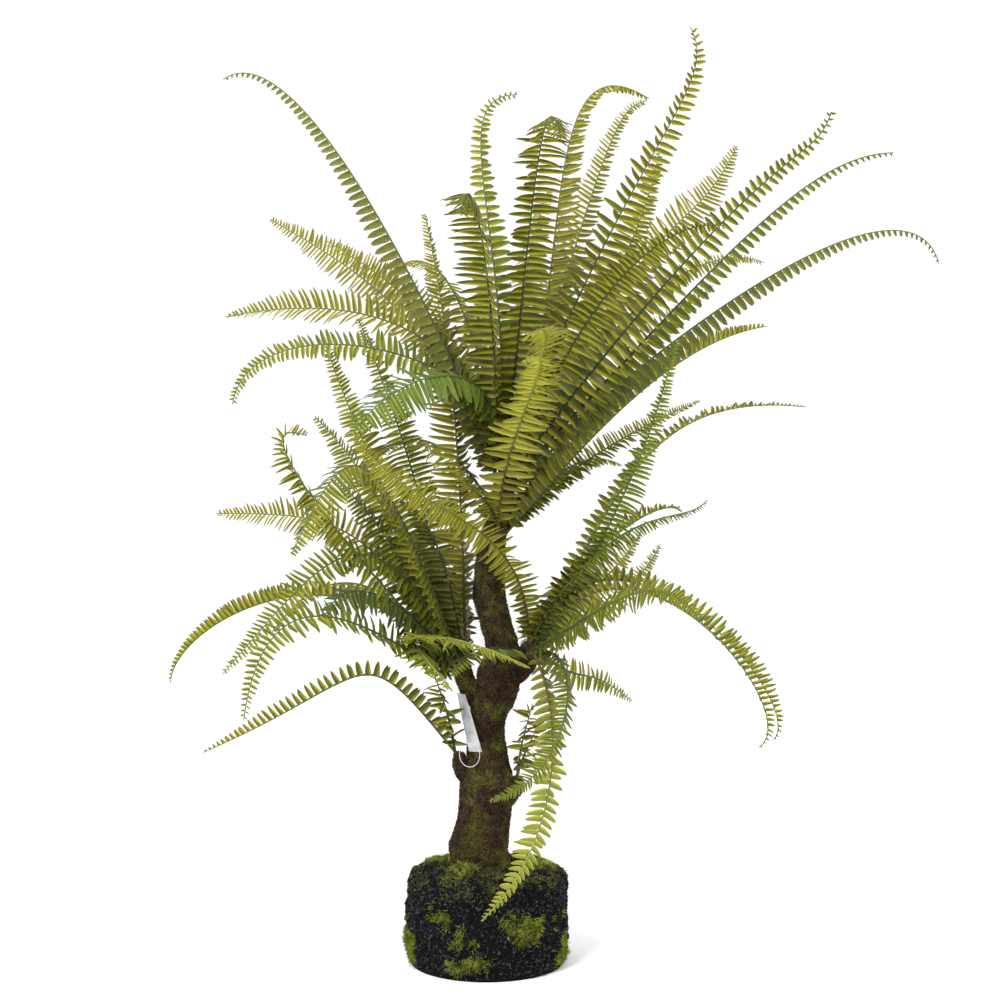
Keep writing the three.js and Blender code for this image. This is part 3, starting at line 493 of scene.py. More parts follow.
def seat_foot(frond):
    """The foot of a rib, just clear of the limb's skin where a line out of the crown leaves it."""
    limb_name, middle, radius, _ = CROWNS[frond["crown"]]
    middle = np.array(middle, float) + (0, 0, frond["lift"])
    start = middle + frond["socket"] * 4 * radius
    *_, distance = limb_skins[limb_name].ray_cast(Vector(start * MM), Vector(-frond["socket"]))
    stand = 4 * radius - distance / MM
    return middle + frond["socket"] * (stand + CLEARANCE + FOOT_HALF_SIZE * frond["lean"])


def read_fronds():
    """The fronds of the table, each with its headings and the place of its foot on its crown."""
    fronds = []
    rows = [(crown, *row) for crown, crown_rows in FROND_TABLE.items() for row in crown_rows]
    for number, row in enumerate(rows, 1):
        crown, tip, launch, land, sway, turn, bends, leaflet, full, roll, droop, tone = row
        tip = np.array(tip, float)
        middle = np.array(CROWNS[crown][1], float)
        azimuth = math.degrees(math.atan2(tip[1] - middle[1], tip[0] - middle[0]))
        on_collar = CROWNS[crown][3] is not None
        fronds.append({
            "number": number, "crown": crown, "tip": tip, "azimuth": azimuth + sway, "bends": bends,
            "set_off": heading(azimuth + sway, launch), "arrive": heading(azimuth + turn, land),
            "socket": heading(azimuth + sway, 0 if on_collar else max(launch, -12)),
            "leaflet": leaflet, "full": full, "droop": math.radians(droop), "tone": tone,
            "roll": math.radians(roll) * math.copysign(1, math.cos(math.radians(azimuth))),
        })
    for crown, (_, _, radius, step) in CROWNS.items():
        own = [f for f in fronds if f["crown"] == crown and f["number"] not in SHARED_FEET]
        sockets = [f["socket"] for f in own]
        spread_sockets(sockets, radius)
        for order, (frond, socket) in enumerate(zip(own, sockets)):
            frond["socket"] = socket
            frond["lift"] = step * (order - len(own) / 2) if step else 0
    for frond, after in zip(fronds, fronds[1:] + [None]):
        grows = [frond] + ([after] if after and after["number"] in SHARED_FEET else [])
        cosines = [np.clip(frond["socket"] @ f["set_off"], -1, 1) for f in grows]
        frond["lean"] = max(math.sin(math.acos(c)) for c in cosines)
    return fronds


# The limbs as short straight stretches with a radius at each end.
stretches = [(s, t) for line in (TRUNK_STATIONS, *BOUGH_STATIONS.values()) for s, t in zip(line, line[1:])]
stretch_from = np.array([s for s, _ in stretches], float)
stretch_to = np.array([t for _, t in stretches], float)


def way_out(point, room):
    """How deep a point is inside the nearest limb or the plug with some room round them, and the way out."""
    start, along = stretch_from[:, :3], (stretch_to - stretch_from)[:, :3]
    share = np.clip(((point - start) * along).sum(1) / (along ** 2).sum(1), 0, 1)
    out = point - start - along * share[:, None]
    radius = stretch_from[:, 3] + (stretch_to - stretch_from)[:, 3] * share
    ripple = 1.07
    depths = radius * ripple + room - np.linalg.norm(out, axis=1)
    worst = int(depths.argmax())
    depth, way = depths[worst], out[worst]
    in_plug = PLUG_RADIUS + PLUG_BULGE + room - math.hypot(point[0], point[1])
    if point[2] < PLUG_HEIGHT + room and in_plug > depth:
        depth, way = in_plug, np.array([point[0], point[1], 0])
    return depth, unit(way)


def lay_rib(frond, foot):
    """The rib as even stations along one smooth curve, eased off the limbs, with its blade's frame."""
    reach = np.linalg.norm(frond["tip"] - foot)
    knots = [foot, foot + frond["set_off"] * frond["bends"][0] * reach,
             frond["tip"] - frond["arrive"] * frond["bends"][1] * reach, frond["tip"]]
    t = np.linspace(0, 1, 300)[:, None]
    curve = ((1 - t) ** 3 * knots[0] + 3 * (1 - t) ** 2 * t * knots[1]
             + 3 * (1 - t) * t ** 2 * knots[2] + t ** 3 * knots[3])
    run = run_along(curve)
    station_spacing = 6.0
    count = max(12, round(run[-1] / station_spacing))
    places = np.linspace(0, run[-1], count + 1)
    rib = np.stack([np.interp(places, run, curve[:, axis]) for axis in range(3)], axis=1)
    # In a few rounds, every station beyond the first ones that is inside a limb moves out of it. Its
    # neighbours within the softness move along, and those on the held stretch by the foot move less.
    rounds, first, room, softness, held = 12, 7, 4, 46.0, 42
    for _ in range(rounds):
        moved = False
        for station in range(first, count + 1):
            depth, out = way_out(rib[station], room)
            if depth > 0.2:
                fade = np.exp(-((places - places[station]) / softness) ** 2) * np.clip(places / held, 0, 1)
                rib = rib + fade[:, None] * out * depth * 0.5
                moved = True
        if not moved:
            break
    frond["rib"], frond["length"], frond["places"] = rib, run[-1], places
    frame_rib(frond)


def frame_rib(frond):
    """The blade's width and upper side at each station, carried along the rib from its foot."""
    rib = frond["rib"]
    ahead = np.gradient(rib, axis=0)
    ahead /= np.linalg.norm(ahead, axis=1)[:, None]
    azimuth = math.radians(frond["azimuth"])
    wide = np.array([-math.sin(azimuth), math.cos(azimuth), 0])
    across = np.zeros_like(rib)
    for station, way in enumerate(ahead):
        wide = unit(wide - way * (wide @ way))
        side = np.cross(way, wide)
        across[station] = wide * math.cos(frond["roll"]) + side * math.sin(frond["roll"])
    frond["ahead"], frond["across"], frond["above"] = ahead, across, np.cross(ahead, across)


def leaflet_share(frond, t):
    """How long a leaflet is at a share of the way along its rib: shorter at the foot, slight at the tip."""
    foot = 0.55 + 0.45 * np.minimum(1, t / 0.2)
    left = 1 - np.clip((t - frond["full"]) / (1 - frond["full"]), 0, 1)
    return foot * (0.14 + 0.86 * left)


# ---- Leaflets ----
# The outline of one leaflet: how far along it each station is, and its half width there as a share of
# the greatest.
LEAFLET_ALONG = np.array([0.0, 0.09, 0.32, 0.62, 0.84, 0.95])
LEAFLET_HALF_WIDTH = np.array([0.6, 1.0, 0.92, 0.74, 0.48, 0.22])
LEAFLET_WIDTH_SHARE = 0.48  # half width as a share of the distance to the next leaflet
SLENDER_WIDTH_SHARE = 0.41
SLENDER = {2, 3, 4, 9, 10, 11, 13, 14, 15, 40, 44, 45, 60, 61, 68}  # rows with slim leaflets
BROADEST = 0.3  # half width as a share of the leaflet's own length, at most
BROADEST_ON_TWIG = 0.42
LEAFLET_THICKNESS = 0.32
LEAFLET_STRETCH = 1.15  # length against the simpler leaflets of the solids
STEEP_DROOP = math.radians(60)  # from here on the two rows of leaflets hang or stand side by side
FORWARD_BOW = 0.12  # how far a leaflet bows towards the frond's tip, as a share of its length
BACKWARD_BOW = -0.05


def leaflet_faces():
    """One leaflet's faces: two rows above and two below, meeting along its outline and at its tip, and
    which of them are on its under side."""
    rings = len(LEAFLET_ALONG)
    tip = 4 * rings
    faces = ring_faces(rings, 4)
    faces += [(tip - 4 + k, tip - 4 + (k + 1) % 4, tip) for k in range(4)]
    faces.append((0, 3, 2, 1))
    return faces, [0, 0, 1, 1] * rings + [1]


def at_place(frond, name, places):
    """One of a frond's values at distances along its rib."""
    return np.stack([np.interp(places, frond["places"], frond[name][:, axis]) for axis in range(3)], axis=1)


def normalised(vectors):
    """The directions of a list of vectors."""
    return vectors / np.linalg.norm(vectors, axis=1)[:, None]


def leaflet_spacing(frond, t):
    """How far apart neighbouring leaflets are: closer together towards the tip."""
    usual = 1.3 + 0.27 * frond["leaflet"]
    return LEAFLET_GAPS.get(frond["number"], usual) * (1 - 0.5 * t ** 1.5)


def leaflet_places(frond):
    """Distances of the leaflets from the foot, closer together towards the tip."""
    places, at = [], BARE_STALK * 0.4
    while at < frond["length"] - 2.5:
        places.append(at)
        at += leaflet_spacing(frond, at / frond["length"])
    return np.array(places)


def grow_leaflets(frond, side, draws):
    """The points of every leaflet on one side of a frond, leaflet by leaflet."""
    places = leaflet_places(frond)
    steep = abs(frond["droop"]) > STEEP_DROOP
    unruly = 4 if frond["number"] in TWIGS else 0.3 if steep else 1
    places = places + min(unruly, 1) * (side * 1.2 + draws.normal(0, 0.5, len(places)))
    count = len(places)
    t = np.clip(places / frond["length"], 0, 1)
    ahead, across, above = (normalised(at_place(frond, n, places)) for n in ("ahead", "across", "above"))
    droop = frond["droop"] + draws.normal(0, math.radians(8) * unruly, count)
    sweep = 0.08 + 0.4 * t * t + draws.normal(0, 0.05, count)
    way = normalised(across * (side * np.cos(droop))[:, None] - above * np.sin(droop)[:, None]
                     + ahead * sweep[:, None])
    wide = normalised(ahead - way * (ahead * way).sum(1)[:, None])
    up = np.cross(wide, way) * side
    twist = draws.normal(math.radians(10), math.radians(11) * unruly, count) * -side
    wide, up = (wide * np.cos(twist)[:, None] + up * np.sin(twist)[:, None],
                up * np.cos(twist)[:, None] - wide * np.sin(twist)[:, None])
    length = frond["leaflet"] * LEAFLET_STRETCH * leaflet_share(frond, t)
    length = length * draws.normal(1, 0.05 * unruly, count)
    width_share = SLENDER_WIDTH_SHARE if frond["number"] in SLENDER else LEAFLET_WIDTH_SHARE
    broadest = BROADEST_ON_TWIG if frond["number"] in TWIGS else BROADEST
    width = np.minimum(width_share * leaflet_spacing(frond, t), broadest * length) * (1 - 0.15 * t * t)
    curl = draws.normal(0.12 if steep else 0.5, 0.2 * min(unruly, 1), count)
    bow = FORWARD_BOW if frond["tone"] in ("yellow", "lime") else BACKWARD_BOW
    root = at_place(frond, "rib", places) + across * (side * 0.7)
    points, textures = [], []
    for along, half in [*zip(LEAFLET_ALONG, LEAFLET_HALF_WIDTH), (1.0, 0.0)]:
        forward = length * np.sin(curl * along) / curl
        drop = length * (1 - np.cos(curl * along)) / curl
        hook = length * bow * along ** 2
        spine = root + way * forward[:, None] - up * drop[:, None] + wide * hook[:, None]
        half_width = width * half
        sag = half_width * 0.5
        if half == 0:
            points.append(spine)
            textures.append((0.5, along))
            continue
        lift = up * (LEAFLET_THICKNESS / 2)
        edge = wide * half_width[:, None]
        sagged = spine - up * sag[:, None]
        points += [sagged + edge, spine + lift, sagged - edge, spine - lift]
        textures += [(0.5 + half / 2, along), (0.5, along), (0.5 - half / 2, along), (0.5, along)]
    points = np.stack(points, axis=1)
    if side < 0:
        order = [k for s in range(len(LEAFLET_ALONG)) for k in (4 * s + 2, 4 * s + 1, 4 * s, 4 * s + 3)]
        order.append(4 * len(LEAFLET_ALONG))
        points, textures = points[:, order], [textures[k] for k in order]
    return points, np.array(textures)


def grow_rib(frond):
    """A tapering round rib that starts a little inside its crown."""
    sides, foot_radius, tip_radius = 6, 2.1, 0.6
    rib, share = frond["rib"], frond["places"] / frond["length"]
    radius = foot_radius + (tip_radius - foot_radius) * share ** 0.7
    inside = rib[0] - frond["ahead"][0] * 5
    rib = np.vstack([inside, rib])
    across = np.vstack([frond["across"][:1], frond["across"]])
    above = np.vstack([frond["above"][:1], frond["above"]])
    radius = np.concatenate([[foot_radius], radius])
    points = []
    for k in range(sides):
        angle = 2 * math.pi * k / sides
        points.append(rib + (across * math.cos(angle) + above * math.sin(angle)) * radius[:, None])
    points = np.stack(points, axis=1).reshape(-1, 3)
    return points, tube_faces(len(rib), sides)


def join(parts):
    """Parts of (points, faces, slots) as one, with each part's point numbers moved along."""
    points, faces, slots, start = [], [], [], 0
    for part_points, part_faces, part_slots in parts:
        points.append(part_points)
        faces += [tuple(start + i for i in face) for face in part_faces]
        slots += part_slots
        start += len(part_points)
    return np.vstack(points), faces, slots


def dress_crown(crown, fronds):
    """The ribs and the leaflets of every frond on one crown, each joined into one piece."""
    used = sorted({frond["tone"] for frond in fronds})
    one_leaflet, one_sides = leaflet_faces()
    leaves, stalks, textures, leaf_reaches, rib_reaches = [], [], [], [], []
    for frond in fronds:
        draws = np.random.default_rng(1000 + frond["number"])
        place = used.index(frond["tone"])
        for side in (1, -1):
            points, texture = grow_leaflets(frond, side, draws)
            count, size = points.shape[:2]
            faces = [tuple(size * n + i for i in face) for n in range(count) for face in one_leaflet]
            slots = [2 * place + lower for _ in range(count) for lower in one_sides]
            leaves.append((points.reshape(-1, 3), faces, slots))
            textures.append(np.tile(texture, (count, 1)))
            leaf_reaches.append(np.repeat(leaflet_places(frond) / frond["length"], size))
        points, faces = grow_rib(frond)
        stalks.append((points, faces, [place] * len(faces)))
        rib_reaches.append(np.linspace(0, 1, len(points)))
    leaf_list = [material for tone in used for material in leaf_materials[tone]]
    points, faces, slots = join(leaves)
    leaflets = make_piece(f"leaflets_{crown}", points, faces, leaf_list, slots)
    texture = np.vstack(textures)
    corners = np.empty(len(leaflets.data.loops), dtype=np.int32)
    leaflets.data.loops.foreach_get("vertex_index", corners)
    note_on_points(leaflets, reach=np.concatenate(leaf_reaches))
    layer = leaflets.data.uv_layers.new(name="leaflet")
    layer.data.foreach_set("uv", texture[corners].astype(np.float32).ravel())
    leaflets.data.set_sharp_from_angle(angle=math.radians(75))
    points, faces, slots = join(stalks)
    ribs = make_piece(f"ribs_{crown}", points, faces, [stalk_materials[t] for t in used], slots)
    note_on_points(ribs, reach=np.concatenate(rib_reaches))
    nodes = [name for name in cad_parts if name.startswith(f"frond_{crown}_")]
    settle(leaflets, "frond", *nodes)
    settle(ribs, "frond", *nodes)


fronds = read_fronds()
for frond in fronds:
    if frond["number"] not in SHARED_FEET:
        foot = seat_foot(frond)
    lay_rib(frond, foot)
for crown in CROWNS:
    dress_crown(crown, [frond for frond in fronds if frond["crown"] == crown])


# ---- Trunk, boughs and stubs ----
def smooth_path(stations, count):
    """Points and radii along one smooth line through the stations, as the part's source lays it."""
    spots = [np.array(s[:3], float) for s in stations]
    spots = [2 * spots[0] - spots[1], *spots, 2 * spots[-1] - spots[-2]]
    path, radii = [], []
    for step in range(count + 1):
        at = step / count * (len(stations) - 1)
        n = min(int(at), len(stations) - 2)
        w = at - n
        p0, p1, p2, p3 = spots[n:n + 4]
        d0, d1, d2 = (max(np.linalg.norm(b - a) ** 0.5, 1e-4) for a, b in ((p0, p1), (p1, p2), (p2, p3)))
        t1 = ((p1 - p0) / d0 - (p2 - p0) / (d0 + d1) + (p2 - p1) / d1) * d1
        t2 = ((p2 - p1) / d1 - (p3 - p1) / (d1 + d2) + (p3 - p2) / d2) * d1
        path.append(p1 + t1 * w + (3 * (p2 - p1) - 2 * t1 - t2) * w * w
                    + (2 * (p1 - p2) + t1 + t2) * w ** 3)
        radii.append(stations[n][3] + (stations[n + 1][3] - stations[n][3]) * w)
    return np.array(path), np.array(radii)


# Knobs on the trunk: where each one is, how wide it is and how far it stands out.
TRUNK_KNOBS = [((-43, -8, 139), 11, 6), ((-36, -14, 166), 5, 4), ((30, -10, 300), 12, 3),
               ((38, 20, 175), 14, 5), ((-6, 22, 405), 12, 4), ((-14, -8, 345), 9, 3),
               ((-17, 6, 262), 16, 5), ((-17, 6, 285), 16, 5), ((30, -16, 118), 12, 3)]


def roughen(points, outward):
    """Pushes points in and out by fibre clumps of three sizes."""
    rough = []
    for point, way in zip(points, outward):
        push = (1.5 * noise.noise(Vector(point) / 24) + 0.9 * noise.noise(Vector(point) / 8)
                + 0.55 * noise.noise(Vector(point) / 3.2))
        rough.append(point + way * push)
    return np.array(rough)


def limb_piece(name, stations, upright, knobs=()):
    """One limb with its bark's relief, closed by a dome over its end and a flat cut at its foot."""
    grit = 1.5  # distance between neighbouring points of the skin
    length = sum(np.linalg.norm(np.subtract(b[:3], a[:3])) for a, b in zip(stations, stations[1:]))
    sides = int(2 * math.pi * max(s[3] for s in stations) / grit / 1.3)
    path, radii = smooth_path(stations, int(length / grit))
    ahead = np.gradient(path, axis=0)
    ahead = np.tile([0.0, 0, 1], (len(path), 1)) if upright else normalised(ahead)
    lifts = np.radians(np.arange(8, 86, 8))
    path = np.vstack([path, path[-1] + np.outer(np.sin(lifts) * radii[-1], ahead[-1])])
    ahead = np.vstack([ahead, np.tile(ahead[-1], (len(lifts), 1))])
    radii = np.concatenate([radii, radii[-1] * np.cos(lifts)])
    across = normalised(np.cross((0, 1, 0), ahead))
    up = np.cross(ahead, across)
    angles = 2 * math.pi * np.arange(sides) / sides
    points, outward = [], []
    for centre, x, y, radius in zip(path, across, up, radii):
        ripple = 1 + 0.035 * (np.sin(3 * angles + centre[2] / 21) + np.sin(5 * angles - centre[2] / 13))
        way = np.outer(np.cos(angles), x) + np.outer(np.sin(angles), y)
        points.append(centre + way * (radius * ripple)[:, None])
        outward.append(way)
    points, outward = np.vstack(points), np.vstack(outward)
    for spot, size, height in knobs:
        swell = height * np.exp(-(np.linalg.norm(points - spot, axis=1) / size) ** 2)
        points = points + outward * swell[:, None]
    points = roughen(points, outward)
    if upright:
        foot_height = stations[0][2]
        points[:, 2] = np.maximum(points[:, 2], foot_height)
    piece = make_piece(f"{name}_bark", points, tube_faces(len(path), sides), [bark])
    moss = np.array([moss_on_bark(point) for point in points])
    note_on_points(piece, moss=moss, worn=1 - 0.7 * moss)
    settle(piece, "bark", name)
    return piece


# Heights of the mossy stretches of the trunk.
MOSSY_FLANK = (190, 290)
MOSSY_COLLAR = 296
MOSSY_NECK = 380


def moss_on_bark(point):
    """How much moss grows at a point of the bark: most at the foot and round the collar, some on the right
    flank and the neck, and elsewhere in patches."""
    x, _, z = point
    patch = noise.noise(Vector(point) / 26) * 1.2 + noise.noise(Vector(point) / 9) * 0.6
    foot = 1.1 * math.exp(-max(0, z - PLUG_HEIGHT) / 16)
    flank = 0.45 if MOSSY_FLANK[0] < z < MOSSY_FLANK[1] and x > 4 else 0.08
    collar = 0.9 * math.exp(-((z - MOSSY_COLLAR) / 9) ** 2)
    neck = 0.35 if z > MOSSY_NECK else 0
    return min(1, max(0, patch + foot + flank + collar + neck))


bark = flocked_bark()
trunk = limb_piece("trunk", TRUNK_STATIONS, True, TRUNK_KNOBS)
boughs = [limb_piece(name, stations, False) for name, stations in BOUGH_STATIONS.items()]


# ---- Soil plug ----
# Moss on the plug: where each cushion is, how far it reaches and how fresh it is.
MOSS_CUSHIONS = [
    ((-92, -20, 30), 24, 0.9), ((-88, -30, 12), 15, 0.8), ((-36, -86, 14), 15, 1.0),
    ((-12, -92, 22), 17, 0.9), ((30, -88, 66), 15, 0.8), ((46, -80, 58), 19, 1.0),
    ((88, -34, 24), 22, 0.9), ((84, -40, 60), 14, 0.5), ((-58, -73, 70), 15, 0.5),
    ((-34, -87, 62), 22, 0.35), ((-52, 34, 110), 26, 0.9), ((66, 10, 110), 20, 0.6),
    ((40, 84, 58), 20, 1.0), ((-60, 72, 30), 18, 0.9), ((8, 94, 18), 17, 1.0),
    ((-30, 66, 108), 18, 0.8), ((-93, 20, 70), 14, 0.7), ((92, 24, 84), 13, 0.9),
    ((-28, -56, 118), 17, 0.6),
]

# Mounds on the plug's top: where each one is, how far it reaches and how high it is.
PLUG_MOUNDS = [((-12, -14), 40, 9), ((-26, -52), 19, 12), ((38, 30), 17, 11), ((58, 6), 12, 5),
               ((-66, -4), 11, 5), ((30, -66), 12, 4)]

# The thin green film before the trunk: its middle and its reach.
FILM_MIDDLE = (-16, -34)
FILM_REACH = 34


def plug_profile(spacing):
    """Radius and height along the drum's outline, from the edge of its underside to its middle on top."""
    top, shoulder = PLUG_RADIUS - PLUG_RIM_ROUND, PLUG_HEIGHT - PLUG_RIM_ROUND
    corners = [(PLUG_RADIUS - 4, 0), (PLUG_RADIUS, 7), (PLUG_RADIUS + PLUG_BULGE, PLUG_HEIGHT / 2),
               (PLUG_RADIUS, shoulder)]
    corners += [(top + PLUG_RIM_ROUND * math.cos(a), shoulder + PLUG_RIM_ROUND * math.sin(a))
                for a in np.radians((20, 45, 70, 90))]
    corners.append((4, PLUG_HEIGHT))
    corners = np.array(corners)
    run = run_along(corners)
    places = np.linspace(0, run[-1], int(run[-1] / spacing))
    return np.interp(places, run, corners[:, 0]), np.interp(places, run, corners[:, 1])


def plug_piece():
    """The drum of soil with its lumps and mounds, and where moss, dust and crumbs lie on it."""
    spacing = 2.2
    sides = int(2 * math.pi * PLUG_RADIUS / spacing)
    radii, heights = plug_profile(spacing)
    angles = 2 * math.pi * np.arange(sides) / sides
    slope = np.gradient(np.stack([radii, heights], axis=1), axis=0)
    points, outward = [], []
    for radius, height, (dr, dz) in zip(radii, heights, slope):
        level = np.stack([np.cos(angles), np.sin(angles), np.zeros(sides)], axis=1)
        points.append(level * (radius, radius, 0) + (0, 0, height))
        outward.append(normalised(level * (dz, dz, 0) + (0, 0, -dr)))
    points, outward = np.vstack(points), np.vstack(outward)
    lumps = np.array([2.6 * noise.noise(Vector(p) / 22) + 2.8 * noise.noise(Vector(p) / 8)
                      + 2.2 * noise.noise(Vector(p) / 4) - 1.6 for p in points])
    lumps *= np.clip(points[:, 2] / 6, 0, 1)
    points = points + outward * lumps[:, None]
    on_top = np.clip((points[:, 2] - PLUG_HEIGHT + 10) / 6, 0, 1)
    for (x, y), reach, height in PLUG_MOUNDS:
        away = np.hypot(points[:, 0] - x, points[:, 1] - y)
        points[:, 2] += on_top * height * np.exp(-(away / reach) ** 2)
    points[:, 2] = np.maximum(points[:, 2], 0)
    plug = make_piece("soil_plug_core", points, tube_faces(len(radii), sides), [soil])
    cushions = []
    for point in points:
        cover = max(fresh * (1.2 - (np.linalg.norm(point - spot) / reach) ** 2)
                    for spot, reach, fresh in MOSS_CUSHIONS)
        ragged = 1.5 * noise.noise(Vector(point) / 13) + 1.1 * noise.noise(Vector(point) / 5)
        cushions.append(min(1, max(0, 1.3 * cover + ragged - 0.45)))
    cushions = np.array(cushions)
    above_floor = np.clip((points[:, 2] - 2.5) / 3, 0, 1)
    room_for_tufts = np.clip((points[:, 2] - 6) / 3, 0, 1)
    patchy = np.array([0.45 + 1.6 * noise.noise(Vector(p) / 17) for p in points])
    by_trunk = np.exp(-(np.hypot(*(points[:, :2] - FILM_MIDDLE).T) / FILM_REACH) ** 4)
    top_dust = np.clip((points[:, 2] - PLUG_HEIGHT + 22) / 20, 0, 1) * np.clip(patchy + by_trunk, 0, 1)
    note_on_points(plug, cushion=cushions * room_for_tufts, bare=above_floor * (1 - 0.75 * cushions),
                   dust=top_dust * (1 - cushions))
    settle(plug, "soil", "soil_plug")
    return plug


# ---- Crumbs and fibres strewn over a surface ----
def strewing(name, shape, material):
    """A tree that strews crumbs or fibres over a surface as densely as one of its attributes says."""
    tree = bpy.data.node_groups.new(name, "GeometryNodeTree")
    for label, kind in (("Surface", "Geometry"), ("Density", "Float"), ("Where", "String"),
                        ("Size", "Float"), ("Length", "Float"), ("Tilt", "Float"), ("Seed", "Int")):
        tree.interface.new_socket(label, in_out="INPUT", socket_type=f"NodeSocket{kind}")
    tree.interface.new_socket("Strewn", in_out="OUTPUT", socket_type="NodeSocketGeometry")
    given = add_node(tree, "NodeGroupInput").outputs
    where = add_node(tree, "GeometryNodeInputNamedAttribute", {"Name": given["Where"]}).outputs["Attribute"]
    density = reckon(tree, "MULTIPLY", where, given["Density"])
    strewn = add_node(tree, "GeometryNodeDistributePointsOnFaces", {
        "Mesh": given["Surface"], "Density": density, "Seed": given["Seed"]})
    if shape == "crumb":
        ball = add_node(tree, "GeometryNodeMeshIcoSphere", {"Radius": given["Size"], "Subdivisions": 1})
        one = add_node(tree, "GeometryNodeSetShadeSmooth", {
            0: ball.outputs[0], "Shade Smooth": False}).outputs[0]
    else:
        one = add_node(tree, "GeometryNodeMeshCone", {
            "Vertices": 3, "Radius Top": 0.0, "Radius Bottom": given["Size"], "Depth": given["Length"]},
            fill_type="NONE").outputs[0]

    def random_vector(low, high):
        """A random vector for each crumb or fibre."""
        return add_node(tree, "FunctionNodeRandomValue", {
            0: low, 1: high, "Seed": given["Seed"]}, data_type="FLOAT_VECTOR").outputs[0]

    lean = random_vector((-1, -1, -math.pi), (1, 1, math.pi))
    tilt = add_node(tree, "ShaderNodeCombineXYZ", {0: given["Tilt"], 1: given["Tilt"], 2: 1.0}).outputs[0]
    lean = add_node(tree, "ShaderNodeVectorMath", {0: lean, 1: tilt}, operation="MULTIPLY").outputs[0]
    turned = add_node(tree, "FunctionNodeRotateRotation", {
        0: strewn.outputs["Rotation"], 1: lean}, rotation_space="LOCAL").outputs[0]
    uneven = random_vector((0.35, 0.35, 0.35), (1.3, 1.3, 1.3))
    placed = add_node(tree, "GeometryNodeInstanceOnPoints", {
        "Points": strewn.outputs["Points"], "Instance": one, "Rotation": turned, "Scale": uneven}).outputs[0]
    shade = add_node(tree, "FunctionNodeRandomValue", {"Seed": given["Seed"]}).outputs[1]
    shaded = add_node(tree, "GeometryNodeStoreNamedAttribute", {
        "Geometry": placed, "Name": "shade", "Value": shade}, domain="INSTANCE").outputs[0]
    real = add_node(tree, "GeometryNodeRealizeInstances", {0: shaded}).outputs[0]
    finished = add_node(tree, "GeometryNodeSetMaterial", {"Geometry": real, "Material": material}).outputs[0]
    add_node(tree, "NodeGroupOutput", {0: finished})
    return tree


def strew(name, ground, tree, slot, where, density, size, length, tilt, seed):
    """Strews over the ground and keeps the result as one plain mesh."""
    values = {"Where": where, "Density": float(density), "Size": size * MM, "Length": length * MM,
              "Tilt": float(tilt), "Seed": seed}
    modifier = ground.modifiers.new(name, "NODES")
    modifier.node_group = tree
    for item in tree.interface.items_tree:
        if item.in_out == "INPUT" and item.name in values:
            modifier[item.identifier] = values[item.name]
    bpy.context.view_layer.update()
    ready = ground.evaluated_get(bpy.context.evaluated_depsgraph_get())
    mesh = bpy.data.meshes.new_from_object(ready)
    ground.modifiers.remove(modifier)
    mesh.name = name
    piece = bpy.data.objects.new(name, mesh)
    scene.collection.objects.link(piece)
    settle(piece, slot)


soil = crumb_finish("dyed_soil", "#030303", "#080909", 0.9)
plug = plug_piece()
grit = strewing("charcoal crumbs", "crumb", crumb_finish("crushed_charcoal", "#030303", "#363b3f", 0.34))
fresh_moss = strewing("fresh moss", "fibre",
                      moss_finish("nylon_moss_fresh", "#617521", "#c4cc50", "#6a4d26"))
deep_moss = strewing("deep moss", "fibre", moss_finish("nylon_moss_deep", "#343d18", "#66752a", "#3f2c18"))
moss_dust = strewing("moss dust", "fibre", moss_finish("nylon_moss_dust", "#3b3f1e", "#8d9142", "#4c3820"))
flock = strewing("coconut flock", "fibre", moss_finish("coconut_fibre", "#100b09", "#54402c", "#6a4a30"))
bark_crumbs = strewing("bark crumbs", "crumb", crumb_finish("crushed_bark", "#0f0b09", "#4a382c", 0.7))

# What is strewn: its name, what it is, where it lies, how many there are on a square metre, its size and
# length, how far it tilts and its seed.
PLUG_COVER = [
    ("soil_crumbs", grit, "bare", 70000, 1.8, 0, 3, 3),
    ("soil_grains", grit, "bare", 100000, 1.3, 0, 3, 4),
    ("soil_dust", grit, "bare", 100000, 0.9, 0, 3, 5),
    ("moss_tufts", fresh_moss, "cushion", 650000, 0.5, 8, 0.9, 11),
    ("moss_roots", deep_moss, "cushion", 800000, 0.6, 5.5, 1.2, 12),
    ("moss_film", moss_dust, "dust", 520000, 0.5, 4.5, 1.4, 13),
]
LIMB_COVER = [
    ("flock", flock, "worn", 500000, 0.4, 3, 1.3, 21),
    ("crumbs", bark_crumbs, "worn", 110000, 1.1, 0, 3, 31),
    ("moss", moss_dust, "moss", 800000, 0.4, 3, 1.3, 41),
]
for name, tree, where, density, size, length, tilt, seed in PLUG_COVER:
    strew(name, plug, tree, "soil", where, density, size, length, tilt, seed)
for order, limb in enumerate((trunk, *boughs)):
    for name, tree, where, density, size, length, tilt, seed in LIMB_COVER:
        strew(f"{limb.name}_{name}", limb, tree, "bark", where, density, size, length, tilt, seed + order)


# ---- Swing tag ----
TAG_FOOT = np.array((-13, -17.4, 250))
TAG_HEAD = np.array((-30, -13, 317))
TAG_HALF_WIDTH = 8
TAG_TURNS = (-20, -55)


